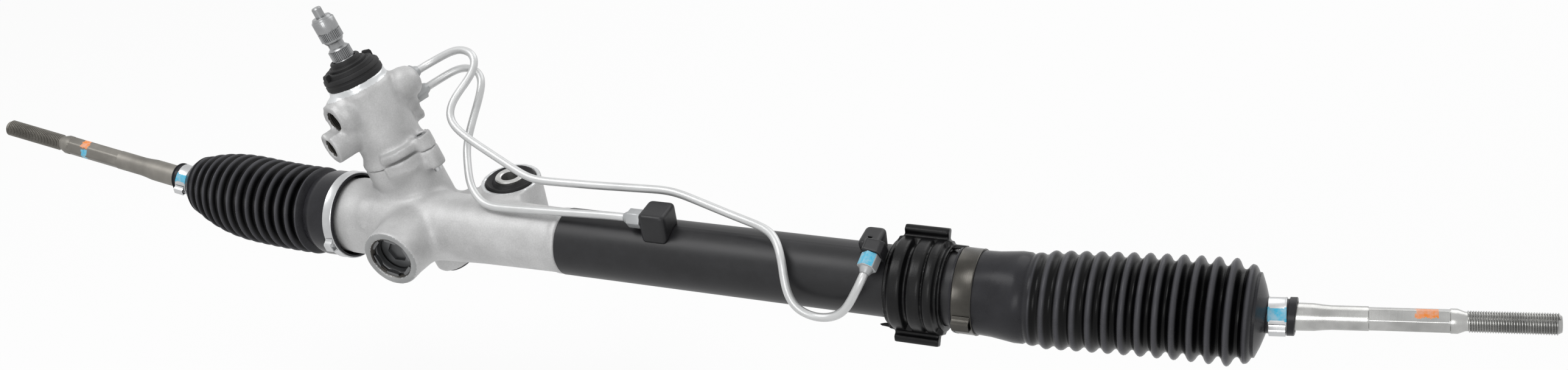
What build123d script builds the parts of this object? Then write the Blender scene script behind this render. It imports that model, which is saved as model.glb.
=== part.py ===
from build123d import *
import os
from math import acos, cos, pi, radians, sin, tan

os.makedirs("parts", exist_ok=True)

# Power steering rack, in millimetres. The origin is on the axis of the mounting bush, level with
# the rack bar. +X runs along the rack bar, +Z up along the bush, and -Y is the rack guide's side.

# ---- driving dimensions ----------------------------------------------------------------------
RACK_Y = -45.0            # rack bar axis, in front of the bush
BAR_R = 13.5              # rack bar radius
BALL_LEFT_X = -220.0      # inner ball joints, with the rack 8 mm right of its centre
BALL_RIGHT_X = 520.0
BALL_R = 12.5
RUN = 0.05                # radial clearance of a running fit
ROD_LENGTH = 257.0        # ball centre to thread end
THREAD_R = 7.0            # M14 x 1.5
THREAD_LENGTH = 53.0
ROD_R = 8.0
LEFT_PITCH, LEFT_YAW = 15.0, -5.3     # tie rods as they hang at rest, in degrees
RIGHT_PITCH, RIGHT_YAW = 4.6, 3.0

SPIGOT_X = -150.0         # open left end of the gear housing
COLLAR_X = -126.0         # end of the boot seat, start of the cast collar
SHOULDER_X = 75.0         # housing meets the cylinder tube
SEAL_X = 102.0            # inner seal, in the spigot inside the tube
TUBE_END_X = 414.0
BOOT_SEAT_R = 30.9
COLLAR_R = 31.6
TUNNEL_R = 25.6           # slim cast tunnel beside the cylinder tube
CYL_R, CYL_BORE_R = 26.5, 23.5

PINION_X = -66.0          # pinion axis at the rack's level
PINION_LEAN = 16.4        # degrees from +Z, towards -X
MODULE = 2.0              # normal module of rack and pinion
PINION_TEETH = 8
PRESSURE_ANGLE = 20.0
BACKLASH = 0.12
GUIDE_X = -60.0
GUIDE_FACE = -53.0        # guide boss face, from the rack axis along Y
GUIDE_BOSS_R = 24.5
GUIDE_BORE_R = 18.0

FLANGE_S = 57.0           # joint between the castings, along the pinion axis
COVER_S = 128.0           # top of the valve housing
NECK_R, VALVE_R = 27.0, 26.0
EAR_ANGLES = (0.0, 150.0)  # flange ears, about the pinion axis from +X
EAR_R = 31.5
PIPE_ANGLE = 65.0         # bosses of the two cylinder pipes
BUSH_R, BUSH_HALF = 21.0, 24.0
BUSH_BORE_R = 7.25
PIPE_R = 3.2
CUP_R = 19.5

# ---- derived places --------------------------------------------------------------------------
PITCH_R = MODULE * PINION_TEETH / 2
SHIFT = 0.5 * MODULE                          # profile shift that keeps eight teeth from undercut
PITCH_LINE = 8.4                              # rack's pitch line, behind the bar's axis
PINION_OFF = PITCH_LINE + PITCH_R
TIP_LINE = PINION_OFF - 7.15                  # rack tooth tips
ROOT_LINE = PINION_OFF - 10.8                 # rack tooth roots
LEAN = radians(PINION_LEAN)

RACK = Plane(origin=(0, RACK_Y, 0), x_dir=(0, 1, 0), z_dir=(1, 0, 0))
RACK_SIDE = Plane(origin=(0, RACK_Y, 0), x_dir=(1, 0, 0), z_dir=(0, -1, 0))
PINION = Plane(origin=(PINION_X, RACK_Y + PINION_OFF, 0), x_dir=(cos(LEAN), 0, sin(LEAN)),
               z_dir=(-sin(LEAN), 0, cos(LEAN)))
PINION_SIDE = Plane(origin=PINION.origin, x_dir=PINION.x_dir, z_dir=(0, -1, 0))
GUIDE = Plane(origin=(GUIDE_X, RACK_Y, 0), x_dir=(1, 0, 0), z_dir=(0, -1, 0))
GUIDE_SIDE = Plane(origin=(GUIDE_X, RACK_Y, 0), x_dir=(0, 1, 0), z_dir=(1, 0, 0))
RACK_AXIS = Axis(RACK.origin, RACK.z_dir)
PINION_AXIS = Axis(PINION.origin, PINION.z_dir)
GUIDE_AXIS = Axis(GUIDE.origin, (0, 1, 0))
BUSH_AXIS = Axis.Z
BUSH_SIDE = Plane.XZ


def outline(plane, points):
    """Closed outline on a plane, kept out of the part until it is turned."""
    with BuildSketch(plane, mode=Mode.PRIVATE) as sketch:
        with BuildLine():
            Polyline(*points, close=True)
        make_face()
    return sketch.sketch


def around_rack(points, mode=Mode.ADD):
    """Turn an outline of (x, radius) points about the rack bar's axis."""
    return revolve(outline(RACK_SIDE, points), axis=RACK_AXIS, mode=mode)


def around_pinion(points, mode=Mode.ADD):
    """Turn an outline of (radius, height) points about the pinion's axis."""
    return revolve(outline(PINION_SIDE, points), axis=PINION_AXIS, mode=mode)


def around_guide(points, mode=Mode.ADD):
    """Turn an outline of (depth, radius) points about the rack guide's axis."""
    return revolve(outline(GUIDE_SIDE, points), axis=GUIDE_AXIS, mode=mode)


def radial_plane(angle, height):
    """Plane facing outwards from the pinion axis at one height and angle."""
    turn = radians(angle)
    out = PINION.x_dir * cos(turn) + PINION.y_dir * sin(turn)
    return Plane(origin=PINION.origin + PINION.z_dir * height, x_dir=PINION.z_dir, z_dir=out)


def rod_direction(side, pitch, yaw):
    """Unit vector from a ball joint towards its rod's free end."""
    up, turn = radians(pitch), radians(yaw)
    return Vector(side * cos(up) * cos(turn), cos(up) * sin(turn), sin(up))


def ear_centres():
    """Bolt places of the flange, on a plane across the pinion's axis."""
    turns = [radians(angle) for angle in EAR_ANGLES]
    return Locations(*[(EAR_R * cos(turn), EAR_R * sin(turn)) for turn in turns])


def flange_ears():
    """Adds both bolt ears to a flange's sketch."""
    for angle in EAR_ANGLES:
        with Locations(Location((0, 0), angle)):
            with Locations((EAR_R / 2, 0)):
                Rectangle(EAR_R, 18)
            with Locations((EAR_R, 0)):
                Circle(9)


# ---- gear housing ----------------------------------------------------------------------------
with BuildPart() as gear_housing:
    around_rack([(SPIGOT_X, 0), (SPIGOT_X, 29.9), (-149, BOOT_SEAT_R), (COLLAR_X, BOOT_SEAT_R),
                 (COLLAR_X, COLLAR_R), (-92, COLLAR_R), (-40, 28.5), (0, 26.6),
                 (SHOULDER_X - 6, TUNNEL_R), (SHOULDER_X - 5, 26.3), (SHOULDER_X, 26.3),
                 (SHOULDER_X, 23.3), (SHOULDER_X + 36, 23.3), (SHOULDER_X + 36, 0)])
    with BuildSketch(GUIDE.offset(10)):
        Circle(27.0)
    with BuildSketch(GUIDE.offset(-GUIDE_FACE - 12)):
        Circle(GUIDE_BOSS_R)
    loft()
    with BuildSketch(GUIDE.offset(-GUIDE_FACE - 12)):
        Circle(GUIDE_BOSS_R)
    extrude(amount=12)
    around_pinion([(0, -51), (14, -51), (17.5, -47), (17.5, -28), (NECK_R, 0), (NECK_R, 40), (0, 40)])
    with BuildSketch(PINION.offset(40)):
        Circle(NECK_R + 2)
        flange_ears()
    extrude(amount=FLANGE_S - 40)
    with BuildSketch(Plane.XY.offset(-22)):
        Circle(BUSH_R + 4)
        with Locations((0, RACK_Y / 2 - 6)):
            Rectangle(44, 34)
    extrude(amount=44)
    with BuildSketch(Plane.XY.offset(-8)):
        with BuildLine():
            Polyline((-75, RACK_Y + 10), (-70, RACK_Y + 34), (-20, 12), (-8, -40), close=True)
        make_face()
    extrude(amount=16)
    with BuildSketch(Plane.XY.offset(-23)):
        Circle(BUSH_R)
    extrude(amount=46, mode=Mode.SUBTRACT)
    around_rack([(-160, 0), (-160, 22.5), (-131, 22.5), (-131, BAR_R + 1), (SEAL_X, BAR_R + 1),
                 (SEAL_X, 18), (SHOULDER_X + 40, 18), (SHOULDER_X + 40, 0)], mode=Mode.SUBTRACT)
    around_pinion([(0, -54), (12.5, -54), (12.5, -40), (10.4, -40), (10.4, -24), (11.6, -24),
                   (11.6, 28), (19, 28), (19, FLANGE_S + 1), (0, FLANGE_S + 1)], mode=Mode.SUBTRACT)
    around_guide([(0, 0), (0, GUIDE_BORE_R), (GUIDE_FACE - 1, GUIDE_BORE_R), (GUIDE_FACE - 1, 0)],
                 mode=Mode.SUBTRACT)
    with BuildSketch(PINION.offset(FLANGE_S)):
        with ear_centres():
            Circle(3)
    extrude(amount=-22, mode=Mode.SUBTRACT)
    boss_foot = [edge for edge in gear_housing.edges().filter_by(GeomType.BSPLINE)
                 if edge.bounding_box().max.Y < RACK_Y - 10 and edge.length > 100]
    fillet(boss_foot, radius=6)                   # where the guide boss grows out of the barrel
gear_housing.part.label = "gear_housing"
export_step(gear_housing.part, "parts/gear_housing.step")

# ---- valve housing ---------------------------------------------------------------------------
# Ports: angle about the pinion, height, face, boss radius and bore radius.
PORTS = {"supply": (-112.0, 107.5, 34.0, 14.5, 8.25), "return": (-116.0, 90.0, 46.0, 13.5, 7.25)}
PORT_DEPTH = 15.0
PIPE_BOSS_FACE = 35.0
SHORT_PIPE_S, LONG_PIPE_S, BLIND_BOSS_S = 91.0, 107.0, 78.0

with BuildPart() as valve_housing:
    around_pinion([(0, FLANGE_S), (29, FLANGE_S), (29, 62), (VALVE_R, 66), (VALVE_R, COVER_S - 8),
                   (23.8, COVER_S - 4), (23.8, COVER_S), (0, COVER_S)])
    with BuildSketch(PINION.offset(FLANGE_S)):
        flange_ears()
    extrude(amount=13)
    for angle, height, face, boss_r, bore_r in PORTS.values():
        with BuildSketch(radial_plane(angle, height)):
            Circle(boss_r)
        extrude(amount=face)
    for height, face, boss_r in ((LONG_PIPE_S, PIPE_BOSS_FACE, 9.5), (SHORT_PIPE_S, PIPE_BOSS_FACE, 10.5),
                                 (BLIND_BOSS_S, PIPE_BOSS_FACE, 7)):
        with BuildSketch(radial_plane(PIPE_ANGLE, height)):
            Circle(boss_r)
        extrude(amount=face)
    lobe = radial_plane(50, 106)
    with BuildSketch(Plane(origin=lobe.origin, x_dir=lobe.z_dir, z_dir=lobe.y_dir)):
        with BuildLine():
            Polyline((5, 0), (5, 14), (33, 14), (39, 12.5), (43, 9), (45, 4), (45, 0), close=True)
        make_face()
    revolve(axis=Axis(lobe.origin, lobe.z_dir))
    around_pinion([(0, FLANGE_S - 1), (18.5, FLANGE_S - 1), (18.5, COVER_S - 12), (16, COVER_S - 12),
                   (16, COVER_S - 1), (17, COVER_S + 1), (0, COVER_S + 1)], mode=Mode.SUBTRACT)
    for angle, height, face, boss_r, bore_r in PORTS.values():
        with BuildSketch(radial_plane(angle, height).offset(face)):
            Circle(bore_r)
        extrude(amount=-PORT_DEPTH, mode=Mode.SUBTRACT)
        with BuildSketch(radial_plane(angle, height)):
            Circle(3.5)
        extrude(amount=face, mode=Mode.SUBTRACT)
    angle, height, face, boss_r, bore_r = PORTS["supply"]
    with BuildSketch(radial_plane(angle, height).offset(face)):
        Circle(bore_r + 0.3)
    extrude(amount=20, mode=Mode.SUBTRACT)        # way in for the supply hose, past the return boss
    for height in (LONG_PIPE_S, SHORT_PIPE_S):
        with BuildSketch(radial_plane(PIPE_ANGLE, height).offset(PIPE_BOSS_FACE)):
            Circle(8.4)
        extrude(amount=20, mode=Mode.SUBTRACT)
        with BuildSketch(radial_plane(PIPE_ANGLE, height).offset(PIPE_BOSS_FACE)):
            Circle(6)
        extrude(amount=-10, mode=Mode.SUBTRACT)
        with BuildSketch(radial_plane(PIPE_ANGLE, height)):
            Circle(2.5)
        extrude(amount=PIPE_BOSS_FACE, mode=Mode.SUBTRACT)
    with BuildSketch(PINION.offset(FLANGE_S)):
        with ear_centres():
            Circle(3.3)
    extrude(amount=13, mode=Mode.SUBTRACT)
    with BuildSketch(PINION.offset(FLANGE_S + 6)):
        with ear_centres():
            Circle(5.5)
    extrude(amount=10, mode=Mode.SUBTRACT)
valve_housing.part.label = "valve_housing"
export_step(valve_housing.part, "parts/valve_housing.step")

with BuildPart() as housing_bolts:
    with BuildSketch(PINION.offset(FLANGE_S + 6)):
        with ear_centres():
            Circle(5)
    extrude(amount=6)
    with BuildSketch(PINION.offset(FLANGE_S + 6)):
        with ear_centres():
            Circle(3)
    extrude(amount=-27)
    with BuildSketch(PINION.offset(FLANGE_S + 12)):
        with ear_centres():
            RegularPolygon(2.5, 6, major_radius=False)
    extrude(amount=-3.5, mode=Mode.SUBTRACT)
housing_bolts.part.label = "housing_bolts"
export_step(housing_bolts.part, "parts/housing_bolts.step")

# ---- rack cylinder ---------------------------------------------------------------------------
UNION_LEFT_X, UNION_RIGHT_X = 162.0, 335.0
OIL_HOLE_Y, OIL_HOLE_R = RACK_Y - 5, 2.0
TUBE_START = SHOULDER_X

with BuildPart() as cylinder_tube:
    around_rack([(TUBE_START, CYL_BORE_R), (TUBE_START, 25), (TUBE_START + 1.5, CYL_R),
                 (TUBE_END_X - 1, CYL_R), (TUBE_END_X, CYL_R - 1), (TUBE_END_X, CYL_BORE_R)])
    with BuildSketch(Plane.XY):
        with Locations((UNION_LEFT_X, OIL_HOLE_Y), (UNION_RIGHT_X, OIL_HOLE_Y)):
            Circle(OIL_HOLE_R)
    extrude(amount=40, mode=Mode.SUBTRACT)
cylinder_tube.part.label = "cylinder_tube"
export_step(cylinder_tube.part, "parts/cylinder_tube.step")

# Unions are steel blocks brazed on the tube; each takes one flared pipe.
LEFT_PORT = Plane(origin=(UNION_LEFT_X - 11, RACK_Y - 8.3, 35.4), x_dir=(0, 1, 0), z_dir=(-1, 0, 0))
RIGHT_PORT = Plane(origin=(UNION_RIGHT_X - 1, RACK_Y - 12, 36.5), x_dir=(1, 0, 0),
                   z_dir=(-0.12, -0.89, -0.44))
NUT_AF, NUT_LENGTH = 13.0, 13.0

with BuildPart() as union_left:
    with BuildSketch(Plane(origin=(UNION_LEFT_X, RACK_Y - 5, 16), z_dir=(0, 0, 1))):
        RectangleRounded(22, 24, 4)
    extrude(amount=28)
    fillet(union_left.faces().sort_by(Axis.Z)[-1].edges(), 3)
    around_rack([(100, 0), (100, CYL_R), (220, CYL_R), (220, 0)], mode=Mode.SUBTRACT)
    with BuildSketch(LEFT_PORT):
        Circle(5)
    extrude(amount=-10, mode=Mode.SUBTRACT)
    with BuildSketch(Plane(origin=(UNION_LEFT_X, OIL_HOLE_Y, 0), z_dir=(0, 0, 1))):
        Circle(OIL_HOLE_R)
    extrude(amount=38, mode=Mode.SUBTRACT)
union_left.part.label = "union_left"
export_step(union_left.part, "parts/union_left.step")

with BuildPart() as union_right:
    with BuildSketch(Plane(origin=(UNION_RIGHT_X, RACK_Y - 2, 16), z_dir=(0, 0, 1))):
        RectangleRounded(16, 22, 4)
    extrude(amount=29)
    fillet(union_right.faces().sort_by(Axis.Z)[-1].edges(), 3)
    around_rack([(300, 0), (300, CYL_R), (370, CYL_R), (370, 0)], mode=Mode.SUBTRACT)
    with BuildSketch(RIGHT_PORT):
        Circle(10)
    extrude(amount=12, mode=Mode.SUBTRACT)
    with BuildSketch(RIGHT_PORT):
        Circle(5)
    extrude(amount=-10, mode=Mode.SUBTRACT)
    with BuildSketch(Plane(origin=(UNION_RIGHT_X, OIL_HOLE_Y, 0), z_dir=(0, 0, 1))):
        Circle(OIL_HOLE_R)
    extrude(amount=36, mode=Mode.SUBTRACT)
union_right.part.label = "union_right"
export_step(union_right.part, "parts/union_right.step")


def on_plane(plane, height):
    """Point on a plane's own axis."""
    return plane.origin + plane.z_dir * height


def bend_radii(route, share=0.42, largest=22.0):
    """One radius for each corner, as large as the two runs beside it allow."""
    radii = []
    for before, corner, after in zip(route, route[1:], route[2:]):
        arrive, leave = corner - before, after - corner
        turn = radians(arrive.get_angle(leave))
        radii.append(min(largest, share * min(arrive.length, leave.length) / tan(turn / 2)))
    return radii


SHORT_BOSS = radial_plane(PIPE_ANGLE, SHORT_PIPE_S).offset(PIPE_BOSS_FACE)
LONG_BOSS = radial_plane(PIPE_ANGLE, LONG_PIPE_S).offset(PIPE_BOSS_FACE)
short_route = [on_plane(SHORT_BOSS, -4), on_plane(SHORT_BOSS, 24), Vector(-49, 40, 103),
               Vector(-29, 37, 100), Vector(-24, 26, 93), Vector(-27, 4, 70), Vector(-26, -12, 58),
               Vector(-9, -42, 39), Vector(9, -53.3, 29.8), Vector(70, -53.3, 32.5),
               on_plane(LEFT_PORT, 26), on_plane(LEFT_PORT, -4)]
long_route = [on_plane(LONG_BOSS, -4), on_plane(LONG_BOSS, 24), Vector(-44, 34, 123),
              Vector(-23, 28, 121), Vector(-22, 20, 111), Vector(-37, -4, 92), Vector(-36, -14, 82),
              Vector(-18, -20, 72), Vector(44, -33, 46), Vector(100, -31, 46), Vector(168, -31, 49),
              Vector(250, -47, 34), Vector(263, -74, 20), Vector(276, -81, -4),
              Vector(304, -83, -13), Vector(322, -82, -3), on_plane(RIGHT_PORT, 28),
              on_plane(RIGHT_PORT, -4)]

with BuildPart() as pipe_short:
    with BuildLine():
        FilletPolyline(*short_route, radius=bend_radii(short_route))
    with BuildSketch(Plane(origin=short_route[0], z_dir=SHORT_BOSS.z_dir)):
        Circle(PIPE_R)
    sweep()
pipe_short.part.label = "pipe_short"
export_step(pipe_short.part, "parts/pipe_short.step")

with BuildPart() as pipe_long:
    with BuildLine():
        FilletPolyline(*long_route, radius=bend_radii(long_route))
    with BuildSketch(Plane(origin=long_route[0], z_dir=LONG_BOSS.z_dir)):
        Circle(PIPE_R)
    sweep()
pipe_long.part.label = "pipe_long"
export_step(pipe_long.part, "parts/pipe_long.step")

with BuildPart() as pipe_nuts:
    for seat in (SHORT_BOSS, LONG_BOSS, LEFT_PORT, RIGHT_PORT):
        with BuildSketch(seat):
            RegularPolygon(NUT_AF / 2, 6, major_radius=False)
            Circle(PIPE_R, mode=Mode.SUBTRACT)
        extrude(amount=NUT_LENGTH)
        with BuildSketch(seat):
            Circle(5)
            Circle(PIPE_R, mode=Mode.SUBTRACT)
        extrude(amount=-4)
pipe_nuts.part.label = "pipe_nuts"
export_step(pipe_nuts.part, "parts/pipe_nuts.step")

# ---- rack bar, piston and its seals ----------------------------------------------------------
BAR_START, BAR_END = BALL_LEFT_X + 22, BALL_RIGHT_X - 22
TOOTH_PITCH_X = pi * MODULE / cos(LEAN)       # tooth spacing along the bar
FIRST_GAP, LAST_GAP = -13, 14                 # tooth gaps, counted from the one at the pinion
PISTON_X = 248.0

with BuildPart() as rack_bar:
    around_rack([(BAR_START, 0), (BAR_START, BAR_R - 1), (BAR_START + 1, BAR_R), (BAR_END - 1, BAR_R),
                 (BAR_END, BAR_R - 1), (BAR_END, 0)])
    slope = tan(radians(PRESSURE_ANGLE))
    half_gap = pi * MODULE / 4 + SHIFT * slope + BACKLASH / 2
    with BuildSketch(Plane.XY.offset(-BAR_R - 1)):
        with Locations((PINION_X + (FIRST_GAP + LAST_GAP) / 2 * TOOTH_PITCH_X,
                        RACK_Y + (TIP_LINE + BAR_R + 2) / 2)):
            Rectangle((LAST_GAP - FIRST_GAP + 1) * TOOTH_PITCH_X + 4, BAR_R + 2 - TIP_LINE)
    extrude(amount=2 * BAR_R + 2, mode=Mode.SUBTRACT)
    tip_half = half_gap + (TIP_LINE + 1 - PITCH_LINE) * slope
    root_half = half_gap + (ROOT_LINE - PITCH_LINE) * slope
    for index in range(FIRST_GAP, LAST_GAP + 1):
        gap_x = index * pi * MODULE
        with BuildSketch(PINION.offset(-50)):
            with BuildLine():
                Polyline((gap_x - tip_half, TIP_LINE + 1 - PINION_OFF),
                         (gap_x + tip_half, TIP_LINE + 1 - PINION_OFF),
                         (gap_x + root_half, ROOT_LINE - PINION_OFF),
                         (gap_x - root_half, ROOT_LINE - PINION_OFF), close=True)
            make_face()
        extrude(amount=100, mode=Mode.SUBTRACT)
    for end, inward in ((BAR_START, 1), (BAR_END, -1)):
        with BuildSketch(RACK.offset(end)):
            Circle(8)
        extrude(amount=inward * 24, mode=Mode.SUBTRACT)
    around_rack([(PISTON_X - 3, BAR_R - 1.5), (PISTON_X - 3, BAR_R + 1), (PISTON_X + 3, BAR_R + 1),
                 (PISTON_X + 3, BAR_R - 1.5)], mode=Mode.SUBTRACT)
rack_bar.part.label = "rack_bar"
export_step(rack_bar.part, "parts/rack_bar.step")

with BuildPart() as piston:
    around_rack([(PISTON_X - 8, BAR_R), (PISTON_X - 8, 22), (PISTON_X - 7, CYL_BORE_R - RUN),
                 (PISTON_X - 2, CYL_BORE_R - RUN), (PISTON_X - 2, 21), (PISTON_X + 2, 21),
                 (PISTON_X + 2, CYL_BORE_R - RUN), (PISTON_X + 7, CYL_BORE_R - RUN), (PISTON_X + 8, 22),
                 (PISTON_X + 8, BAR_R), (PISTON_X + 3, BAR_R), (PISTON_X + 3, BAR_R - 1.5),
                 (PISTON_X - 3, BAR_R - 1.5), (PISTON_X - 3, BAR_R)])
piston.part.label = "piston"
export_step(piston.part, "parts/piston.step")

with BuildPart() as piston_ring:
    around_rack([(PISTON_X - 2, 21), (PISTON_X - 2, CYL_BORE_R - RUN), (PISTON_X + 2, CYL_BORE_R - RUN),
                 (PISTON_X + 2, 21)])
piston_ring.part.label = "piston_ring"
export_step(piston_ring.part, "parts/piston_ring.step")

# The inner seal sits in the housing's spigot, the outer one in a bush at the tube's far end.
with BuildPart() as inner_seal:
    around_rack([(SEAL_X, BAR_R + RUN), (SEAL_X, 18), (SEAL_X + 8, 18),
                 (SEAL_X + 8, BAR_R + RUN)])
inner_seal.part.label = "inner_seal"
export_step(inner_seal.part, "parts/inner_seal.step")

BUSH_START = TUBE_END_X - 36
with BuildPart() as end_bush:
    around_rack([(BUSH_START, BAR_R + 1), (BUSH_START, CYL_BORE_R), (TUBE_END_X - 4, CYL_BORE_R),
                 (TUBE_END_X - 4, BAR_R + RUN), (TUBE_END_X - 20, BAR_R + RUN), (TUBE_END_X - 20, 18),
                 (TUBE_END_X - 30, 18), (TUBE_END_X - 30, BAR_R + 1)])
end_bush.part.label = "end_bush"
export_step(end_bush.part, "parts/end_bush.step")

with BuildPart() as outer_seal:
    around_rack([(TUBE_END_X - 28, BAR_R + RUN), (TUBE_END_X - 28, 18), (TUBE_END_X - 20, 18),
                 (TUBE_END_X - 20, BAR_R + RUN)])
outer_seal.part.label = "outer_seal"
export_step(outer_seal.part, "parts/outer_seal.step")

with BuildPart() as end_ring:
    around_rack([(TUBE_END_X - 4, 20), (TUBE_END_X - 4, CYL_BORE_R), (TUBE_END_X - 2, CYL_BORE_R),
                 (TUBE_END_X - 2, 20)])
end_ring.part.label = "end_ring"
export_step(end_ring.part, "parts/end_ring.step")

# ---- pinion, torsion bar and rotary valve ----------------------------------------------------
BASE_R = PITCH_R * cos(radians(PRESSURE_ANGLE))
PINION_TIP_R, PINION_ROOT_R = 10.4, 6.6
HALF_TOOTH = pi / (2 * PINION_TEETH) + SHIFT * tan(radians(PRESSURE_ANGLE)) / PITCH_R


def involute(angle):
    """Involute function of a pressure angle in radians."""
    return tan(angle) - angle


def flank_point(radius, side, centre):
    """Point of one tooth flank at a radius; inside the base circle the flank is radial."""
    local = acos(min(1.0, BASE_R / radius))
    turn = centre + side * (HALF_TOOTH + involute(radians(PRESSURE_ANGLE)) - involute(local))
    return (radius * cos(turn), radius * sin(turn))


def pinion_outline():
    """Corner points of the eight pinion teeth, one of them pointing at the rack."""
    flank_radii = (PINION_ROOT_R, BASE_R, 8.2, 9.3, PINION_TIP_R)
    points = []
    for tooth in range(PINION_TEETH):
        centre = -pi / 2 + 2 * pi * tooth / PINION_TEETH
        points += [flank_point(radius, -1, centre) for radius in flank_radii]
        points += [flank_point(radius, 1, centre) for radius in reversed(flank_radii)]
    return points


with BuildPart() as pinion_shaft:
    with BuildSketch(PINION.offset(-20)):
        with BuildLine():
            Polyline(*pinion_outline(), close=True)
        make_face()
    extrude(amount=40)
    around_pinion([(0, -39), (7, -39), (8, -38), (8, -24), (PINION_ROOT_R, -22), (PINION_ROOT_R, 22),
                   (10, 24), (10, 52), (9, 54), (0, 54)])
    around_pinion([(0, 30), (3.2, 30), (3.2, 54), (0, 54)], mode=Mode.SUBTRACT)
pinion_shaft.part.label = "pinion_shaft"
export_step(pinion_shaft.part, "parts/pinion_shaft.step")

with BuildPart() as torsion_bar:
    around_pinion([(0, 30), (3.2, 30), (3.2, 42), (2.3, 46), (2.3, 170), (3.9, 172), (3.9, 191),
                   (3.2, 192), (0, 192)])
torsion_bar.part.label = "torsion_bar"
export_step(torsion_bar.part, "parts/torsion_bar.step")

with BuildPart() as input_shaft:
    around_pinion([(2.6, 55), (10, 55), (10, 116), (8.4, 118), (8.4, 145), (9, 146), (9, 155),
                   (6.4, 157.5), (6.4, 161), (9.2, 164), (9.2, 182), (7.6, 184), (3.9, 184),
                   (3.9, 171), (2.6, 170)])
input_shaft.part.label = "input_shaft"
export_step(input_shaft.part, "parts/input_shaft.step")

with BuildPart() as valve_sleeve:
    around_pinion([(10, 60), (18.5 - RUN, 60), (18.5 - RUN, 66), (17.5, 66), (17.5, 70),
                   (18.5 - RUN, 70), (18.5 - RUN, 79), (17.5, 79), (17.5, 84), (18.5 - RUN, 84),
                   (18.5 - RUN, 104), (10, 104)])
valve_sleeve.part.label = "valve_sleeve"
export_step(valve_sleeve.part, "parts/valve_sleeve.step")

with BuildPart() as lower_bush:
    around_pinion([(8 + RUN, -38), (8 + RUN, -24.5), (10.4, -24.5), (10.4, -38)])
lower_bush.part.label = "lower_bush"
export_step(lower_bush.part, "parts/lower_bush.step")

with BuildPart() as pinion_cap:
    around_pinion([(0, -53), (10, -53), (12.5, -51), (12.5, -42), (0, -42)])
pinion_cap.part.label = "pinion_cap"
export_step(pinion_cap.part, "parts/pinion_cap.step")

with BuildPart() as bearing_inner:
    around_pinion([(10, 28), (12.4, 28), (12.4, 31.5), (11.9, 34), (12.4, 36.5), (12.4, 40), (10, 40)])
bearing_inner.part.label = "bearing_inner"
export_step(bearing_inner.part, "parts/bearing_inner.step")

with BuildPart() as bearing_outer:
    around_pinion([(19, 28), (16.8, 28), (16.8, 31.5), (17.3, 34), (16.8, 36.5), (16.8, 40), (19, 40)])
bearing_outer.part.label = "bearing_outer"
export_step(bearing_outer.part, "parts/bearing_outer.step")

with BuildPart() as pinion_seal:
    around_pinion([(10 + RUN, 41), (19, 41), (19, 48), (10 + RUN, 48)])
pinion_seal.part.label = "pinion_seal"
export_step(pinion_seal.part, "parts/pinion_seal.step")

with BuildPart() as input_seal:
    around_pinion([(8.4 + RUN, COVER_S - 10), (16, COVER_S - 10), (16, COVER_S - 2),
                   (8.4 + RUN, COVER_S - 2)])
input_seal.part.label = "input_seal"
export_step(input_seal.part, "parts/input_seal.step")

with BuildPart() as dust_cover:
    around_pinion([(8.4 + RUN, COVER_S + 14), (10, COVER_S + 19), (12.5, COVER_S + 19),
                   (13.5, COVER_S + 12), (19, COVER_S + 11), (23, COVER_S + 9), (23.8, COVER_S + 6),
                   (23.8, COVER_S), (17, COVER_S), (17, COVER_S + 7), (11, COVER_S + 10),
                   (8.4 + RUN, COVER_S + 12)])
dust_cover.part.label = "dust_cover"
export_step(dust_cover.part, "parts/dust_cover.step")

# ---- rack guide ------------------------------------------------------------------------------
with BuildPart() as rack_guide:
    around_guide([(-4, 0), (-4, GUIDE_BORE_R - RUN), (-30, GUIDE_BORE_R - RUN), (-30, 7), (-20, 7),
                  (-20, 0)])
    around_rack([(-100, 0), (-100, BAR_R + 1.05), (-20, BAR_R + 1.05), (-20, 0)], mode=Mode.SUBTRACT)
rack_guide.part.label = "rack_guide"
export_step(rack_guide.part, "parts/rack_guide.step")

with BuildPart() as guide_liner:
    around_guide([(-5, 0), (-5, 12), (-15, 12), (-15, 0)])
    around_rack([(-100, BAR_R + 1.05), (-100, 40), (-20, 40), (-20, BAR_R + 1.05)], mode=Mode.SUBTRACT)
    around_rack([(-100, 0), (-100, BAR_R + RUN), (-20, BAR_R + RUN), (-20, 0)], mode=Mode.SUBTRACT)
guide_liner.part.label = "guide_liner"
export_step(guide_liner.part, "parts/guide_liner.step")

with BuildPart() as guide_spring:
    with BuildLine():
        coil = Helix(pitch=4.0, height=14, radius=5.2, center=(GUIDE_X, RACK_Y - 22, 0),
                     direction=(0, -1, 0))
    with BuildSketch(Plane(origin=coil @ 0, z_dir=coil % 0)):
        Circle(1.1)
    sweep(is_frenet=True)
guide_spring.part.label = "guide_spring"
export_step(guide_spring.part, "parts/guide_spring.step")

with BuildPart() as guide_plug:
    around_guide([(-31.5, 7.5), (-31.5, GUIDE_BORE_R - 0.02), (-42, GUIDE_BORE_R - 0.02), (-42, 0),
                  (-38, 0), (-38, 7.5)])
    with BuildSketch(GUIDE.offset(42)):
        RegularPolygon(8, 6, major_radius=False)
    extrude(amount=-2.5, mode=Mode.SUBTRACT)
guide_plug.part.label = "guide_plug"
export_step(guide_plug.part, "parts/guide_plug.step")

with BuildPart() as guide_lock_ring:
    around_guide([(-42.5, 14.2), (-42.5, GUIDE_BORE_R - 0.02), (-51.5, GUIDE_BORE_R - 0.02),
                  (-51.5, 14.2)])
    with BuildSketch(GUIDE.offset(52)):
        with PolarLocations(15, 6):
            Rectangle(5, 6)
    extrude(amount=-4, mode=Mode.SUBTRACT)
guide_lock_ring.part.label = "guide_lock_ring"
export_step(guide_lock_ring.part, "parts/guide_lock_ring.step")

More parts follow.
